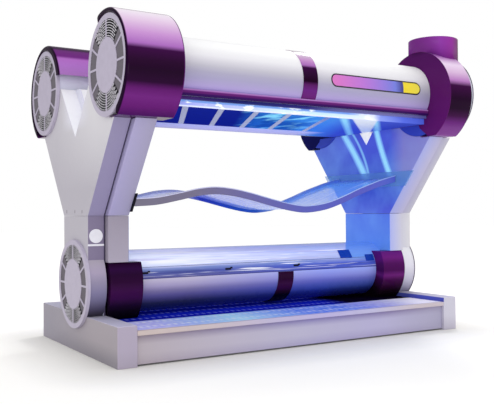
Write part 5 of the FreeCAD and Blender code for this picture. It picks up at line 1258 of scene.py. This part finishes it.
def make_deck():
    low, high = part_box("deck_plate")
    plate = piece("deck_top", *box_solid(low, high), DECK_PAINT, "stand", "deck_plate")
    bevelled(plate, 0.001, 1)
    along = np.arange(low[0] + 0.03, high[0] - 0.02, 0.044)
    across = np.arange(low[1] + 0.10, high[1] - 0.02, 0.157)
    dashes = dash_grid(along, across, 0.011, 0.026, DECK_TOP - 0.0005, DECK_TOP + 0.0009)
    piece("deck_dashes", *dashes, DASH_PAINT, "stand", "deck_plate", smooth=False)
    low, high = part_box("deck_nosing")
    bevelled(piece("deck_nosing_look", *box_solid(low, high), NOSING, "stand", "deck_nosing"), 0.004, 3)
    low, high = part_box("kick_panels")
    front = piece("kick_front", *box_solid(low, (high[0], low[1] + 0.002, high[2])), KICK_PAINT, "stand",
                  "kick_panels")
    bevelled(front, 0.0008, 1)
    rear = piece("kick_rear", *box_solid((low[0], high[1] - 0.002, low[2]), high), KICK_PAINT, "stand",
                 "kick_panels")
    bevelled(rear, 0.0008, 1)


make_beams()
make_deck()


# ---- bench ---------------------------------------------------------------------------------
BENCH_HALF, RAIL_WIDTH, RAIL_HALF = 0.340, 0.022, 0.023
BENCH_LINE = np.array([(-1.0449, 0.9130), (-0.9, 0.9226), (-0.746, 0.9509), (-0.605, 0.9798), (-0.497, 0.9900),
                       (-0.370, 0.9808), (-0.234, 0.9559), (-0.11, 0.9262), (0.003, 0.8996), (0.11, 0.8790),
                       (0.211, 0.8680), (0.310, 0.8745), (0.425, 0.8955), (0.560, 0.9392), (0.7, 0.9926),
                       (0.8, 1.0258), (0.892, 1.0546), (1.0, 1.0821), (1.0449, 1.0920)])


def wave(x):
    """Height of the bench line: a cubic through each pair of neighbours with the slopes at both."""
    kx, kz = BENCH_LINE.T
    slope = np.gradient(kz, kx)
    k = np.clip(np.searchsorted(kx, x) - 1, 0, len(kx) - 2)
    gap = kx[k + 1] - kx[k]
    t = (x - kx[k]) / gap
    return (kz[k] * (1 + 2 * t) * (1 - t) ** 2 + gap * slope[k] * t * (1 - t) ** 2 +
            kz[k + 1] * t ** 2 * (3 - 2 * t) - gap * slope[k + 1] * t ** 2 * (1 - t))


def wavy_bar(y_low, y_high, below, above, steps=161):
    """Bar that follows the bench line: four edges carried along it.

    Point = (x, y, wave(x) + height) for the four corners of the section.
    """
    x = np.linspace(BENCH_LINE[0, 0], BENCH_LINE[-1, 0], steps)
    z = wave(x)
    corners = ((y_low, below), (y_high, below), (y_high, above), (y_low, above))
    points = np.stack([np.stack([x, np.full(steps, y), z + h], -1) for y, h in corners], 1)
    faces = grid_faces(steps, 4, wrap_columns=True)
    faces.append([3, 2, 1, 0])
    faces.append([(steps - 1) * 4 + k for k in range(4)])
    return points.reshape(-1, 3), faces


def make_bench():
    for face, tag in ((FRONT, "front"), (REAR, "rear")):
        y_low, y_high = sorted((face * BENCH_HALF, face * (BENCH_HALF - RAIL_WIDTH)))
        rail = piece("bench_rail_" + tag, *wavy_bar(y_low, y_high, -RAIL_HALF, RAIL_HALF), RAIL_PAINT[face],
                     "stand", "bench_rails")
        bevelled(rail, 0.006, 3)
        # The thin pale strip on top of each rail is a painted highlight.
        y_low, y_high = sorted((face * (BENCH_HALF + 0.0005), face * (BENCH_HALF - 0.008)))
        edge = piece("bench_rail_highlight_" + tag, *wavy_bar(y_low, y_high, RAIL_HALF - 0.003, RAIL_HALF + 0.003), RAIL_HIGHLIGHT,
                     "stand", "bench_rails")
        bevelled(edge, 0.001, 2)
    inner = BENCH_HALF - RAIL_WIDTH - 0.0003
    sheet = piece("bench_sheet_look", *wavy_bar(-inner, inner, 0.0, 0.008), BENCH_CLEAR, "stand", "bench_sheet")
    bevelled(sheet, 0.001, 1)


make_bench()


# ---- exhaust collar, brackets and badge ----------------------------------------------------
COLLAR_X, COLLAR_R = 1.200, 0.176
COLLAR_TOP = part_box("exhaust_collar")[1][2]


def make_collar():
    """Upright pipe whose lower edge follows the drum under it.

    Point = (cx + r cos t, cy + r sin t, z), with z from the saddle height at that place to the top.
    """
    turn = np.linspace(0, TURN, 129)[:-1]
    wall = 0.003
    rows = []
    for radius, top in ((COLLAR_R, None), (COLLAR_R, 0.010), (COLLAR_R, 0.002), (COLLAR_R - 0.002, 0.0),
                        (COLLAR_R - wall, 0.0), (COLLAR_R - wall, None)):
        x = COLLAR_X + radius * np.cos(turn)
        y = -DRUM_Y + radius * np.sin(turn)
        if top is None:
            over = np.where(x < SHROUD_OUT[RIGHT],
                            SHROUD_Z + np.sqrt((SHROUD_R + 0.0005) ** 2 - (y + SHROUD_Y) ** 2),
                            DRUM_Z + np.sqrt((DRUM_R + 0.0008) ** 2 - (y + DRUM_Y) ** 2))
            z = np.maximum(over, DRUM_Z + np.sqrt((GRILLE_R + 0.0005) ** 2 - (y + DRUM_Y) ** 2))
        else:
            z = np.full_like(turn, COLLAR_TOP - top)
        rows.append(np.column_stack([x, y, z]))
    points = np.concatenate(rows)
    faces = grid_faces(len(rows), len(turn), wrap_rows=True, wrap_columns=True)
    collar = piece("exhaust_collar_look", points, faces, COLLAR_PAINT, "canopy", "exhaust_collar")
    tidy_normals(collar)


make_collar()


# ---- lamp pan ------------------------------------------------------------------------------
DIVIDER_STARTS = (-0.874, -0.633, -0.383, -0.139, 0.173)
DIVIDER_SLANT, DIVIDER_WIDE = 0.46, 0.040


def slanted_strip(start, y_low, y_high, z_low, z_high):
    """Flat strip that leans across the pan: x = start + DIVIDER_SLANT * (y - y_low) for its near edge."""
    lean = DIVIDER_SLANT * (y_high - y_low)
    corners = [(start, y_low), (start + DIVIDER_WIDE, y_low), (start + DIVIDER_WIDE + lean, y_high),
               (start + lean, y_high)]
    points = [(x, y, z) for z in (z_low, z_high) for x, y in corners]
    faces = [[3, 2, 1, 0], [4, 5, 6, 7], [0, 1, 5, 4], [1, 2, 6, 5], [2, 3, 7, 6], [3, 0, 4, 7]]
    return points, faces


def make_pan():
    low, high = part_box("canopy_acrylic")
    wall = 0.004
    front = piece("pan_front", *box_solid(low, (high[0], low[1] + wall, high[2])), PAN_FRONT_PAINT, "canopy",
                  "canopy_acrylic")
    bevelled(front, 0.001, 2)
    floor = piece("pan_floor", *box_solid((low[0], low[1] + wall, low[2] + 0.001), (high[0], high[1], low[2] + wall)),
                  LAMP_FIELD, "canopy", "canopy_acrylic")
    tidy_normals(floor)
    ends = [box_solid((x, low[1] + wall, low[2] + wall), (x + wall, high[1], high[2]))
            for x in (low[0], high[0] - wall)]
    tidy_normals(piece("pan_ends", *joined(ends), BRACKET_CLEAR, "canopy", "canopy_acrylic"))
    strips = [slanted_strip(start, low[1] + wall, 0.135, low[2] + 0.0002, low[2] + 0.0012)
              for start in DIVIDER_STARTS]
    tidy_normals(piece("pan_dividers", *joined(strips), DIVIDER_PAINT, "canopy", "canopy_acrylic", smooth=False))


make_pan()


# ---- marks on the lower cover --------------------------------------------------------------
def on_cover(x, turn, long, wide, tall):
    """Small block on the lower cover at an angle in degrees, its sides along X and round the tube."""
    angle = math.radians(turn)
    outward = np.array([0, math.cos(angle), math.sin(angle)])
    round_way = np.array([0, -math.sin(angle), math.cos(angle)])
    centre = np.array([x, 0, LOWER_Z]) + outward * (LOWER_TUBE_R + tall / 2 - 0.0005)
    steps = [np.array([long / 2, 0, 0]), round_way * wide / 2, outward * tall / 2]
    points = [centre + a * steps[0] + b * steps[1] + c * steps[2] for c in (-1, 1)
              for a, b in ((-1, -1), (1, -1), (1, 1), (-1, 1))]
    faces = [[3, 2, 1, 0], [4, 5, 6, 7], [0, 1, 5, 4], [1, 2, 6, 5], [2, 3, 7, 6], [3, 0, 4, 7]]
    return points, faces


def make_cover_marks():
    clips = [on_cover(x, 163, 0.040, 0.012, 0.006) for x in (-0.918, -0.318, 0.236)]
    clips += [on_cover(x + 0.026, 161, 0.014, 0.010, 0.006) for x in (-0.918, -0.318, 0.236)]
    tidy_normals(piece("cover_clips", *joined(clips), BLACK_PLASTIC, "stand", "lower_acrylic", smooth=False))
    seam = [on_cover(0.0, turn, 2.2, 0.0022, 0.0012) for turn in (173.0, 152.0)]
    tidy_normals(piece("cover_seams", *joined(seam), SEAM_BLUE, "stand", "lower_acrylic", smooth=False))
    holders = [on_cover(0.70, 143, 0.105, 0.070, 0.008), on_cover(0.92, 154, 0.075, 0.050, 0.008)]
    bevelled(piece("cover_end_holders", *joined(holders), HOLDER_BLUE, "stand", "lower_acrylic"), 0.002, 2)


make_cover_marks()


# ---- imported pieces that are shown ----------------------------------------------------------
def paint_nodes(material, *names):
    for name in names:
        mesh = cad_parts[name].data
        mesh.materials.clear()
        mesh.materials.append(material)


paint_nodes(BLACK_PLASTIC, "bench_bracket_left", "canopy_lampholders", "lower_lampholders", "base_feet")
paint_nodes(BRACKET_CLEAR, "bench_bracket_right")
paint_nodes(EMBLEM_WHITE, "post_badge")
paint_nodes(STEEL, "base_frame", "pivot_bearings", "ballast_boxes", "mains_box", "lower_reflector")
paint_nodes(MOTOR_GREY, "canopy_fan_motors", "stand_fan_motors")
paint_nodes(LAMP_GLASS, "canopy_lamps", "lower_lamps")
paint_nodes(DARK, *["%s_fan_rotor_%s" % (row, tag) for row in ("front", "rear", "lower") for _, tag in SIDES])


# ---- stage, light and camera ---------------------------------------------------------------
WORLD_LIGHT, MIRRORED_LIGHT, FLOOR_GLOW = 0.95, 0.4, 0.27


def make_stage():
    """Pale floor that reads white to the camera and still takes the shadow."""
    size = 30.0
    ground = piece("ground", [(-size, -size, 0), (size, -size, 0), (size, size, 0), (-size, size, 0)],
                   [[0, 1, 2, 3]], floor_material(), "stand", smooth=False)


def floor_material():
    """Matt white floor; a glow that only the camera sees keeps it white away from the object, and fades near it into a
    painted shadow.
    """
    finish = Finish("floor", Base_Color=(0.83, 0.82, 0.79, 1), Roughness=1.0, Specular_IOR_Level=0.0)
    seen = finish.tree.nodes.new("ShaderNodeLightPath").outputs["Is Camera Ray"]
    beyond = [finish.sum("MAXIMUM", finish.sum("SUBTRACT", finish.sum("ABSOLUTE", finish.axis(axis)), reach), 0.0)
              for axis, reach in (("X", HALF_LENGTH), ("Y", 0.68))]
    away = finish.sum("POWER", finish.sum("ADD", *(finish.sum("POWER", d, 2.0) for d in beyond)), 0.5)
    # The glow fades out near the object, painting a deeper shadow round its foot.
    glow = finish.sum("MULTIPLY", seen, finish.fraction(away, -0.05, 0.50))
    finish.into("Emission Color", finish.mix(glow, (0.0, 0.0, 0.0), (1.0, 1.0, 1.0)))
    finish.shader.inputs["Emission Strength"].default_value = FLOOR_GLOW
    return finish.material


def area(name, place, target, size, power, colour=(1, 1, 1)):
    light = bpy.data.lights.new(name, "AREA")
    light.shape = "RECTANGLE"
    light.size, light.size_y = size
    light.energy = power
    light.color = colour
    lamp = bpy.data.objects.new(name, light)
    bpy.context.scene.collection.objects.link(lamp)
    lamp.location = place
    lamp.rotation_euler = (Vector(target) - Vector(place)).to_track_quat("-Z", "Y").to_euler()
    return lamp


def make_camera():
    """Camera from its measured place, heading, pitch and roll."""
    yaw, pitch, roll = 0.55195, -0.013475, -0.0067815
    forward = Vector((math.sin(yaw) * math.cos(pitch), math.cos(yaw) * math.cos(pitch), -math.sin(pitch)))
    right = Vector((math.cos(yaw), -math.sin(yaw), 0))
    up = right.cross(forward)
    right_rolled = math.cos(roll) * right + math.sin(roll) * up
    up_rolled = -math.sin(roll) * right + math.cos(roll) * up
    data = bpy.data.cameras.new("camera")
    data.lens = 54.91
    data.sensor_width = 36
    data.dof.use_dof = False
    camera = bpy.data.objects.new("camera", data)
    bpy.context.scene.collection.objects.link(camera)
    camera.matrix_world = Matrix((right_rolled, up_rolled, -forward)).transposed().to_4x4()
    camera.location = (-2.8445, -4.5413, 0.8511)
    bpy.context.scene.camera = camera


def make_world():
    """Even studio light, plain white behind everything."""
    world = bpy.data.worlds.new("studio")
    world.use_nodes = True
    tree = world.node_tree
    path = tree.nodes.new("ShaderNodeLightPath")
    strength = tree.nodes.new("ShaderNodeMapRange")
    strength.inputs["To Min"].default_value = WORLD_LIGHT
    strength.inputs["To Max"].default_value = 1.0
    tree.links.new(path.outputs["Is Camera Ray"], strength.inputs["Value"])
    mirror = tree.nodes.new("ShaderNodeMapRange")
    mirror.inputs["To Min"].default_value = 1.0
    mirror.inputs["To Max"].default_value = MIRRORED_LIGHT
    tree.links.new(path.outputs["Is Glossy Ray"], mirror.inputs["Value"])
    both = tree.nodes.new("ShaderNodeMath")
    both.operation = "MULTIPLY"
    tree.links.new(strength.outputs["Result"], both.inputs[0])
    tree.links.new(mirror.outputs["Result"], both.inputs[1])
    tree.nodes["Background"].inputs["Color"].default_value = (1, 1, 1, 1)
    tree.links.new(both.outputs[0], tree.nodes["Background"].inputs["Strength"])
    bpy.context.scene.world = world


make_stage()
make_world()
make_camera()
area("key", (4.2, 2.6, 6.5), (0, 0, 0.5), (1.6, 1.6), 150)
area("fill", (-3.0, -6.0, 0.9), (0, 0, 0.7), (4.0, 1.6), 60)

scene = bpy.context.scene
scene.view_settings.view_transform = "Standard"
scene.render.resolution_x, scene.render.resolution_y = 494, 404

bpy.context.view_layer.update()
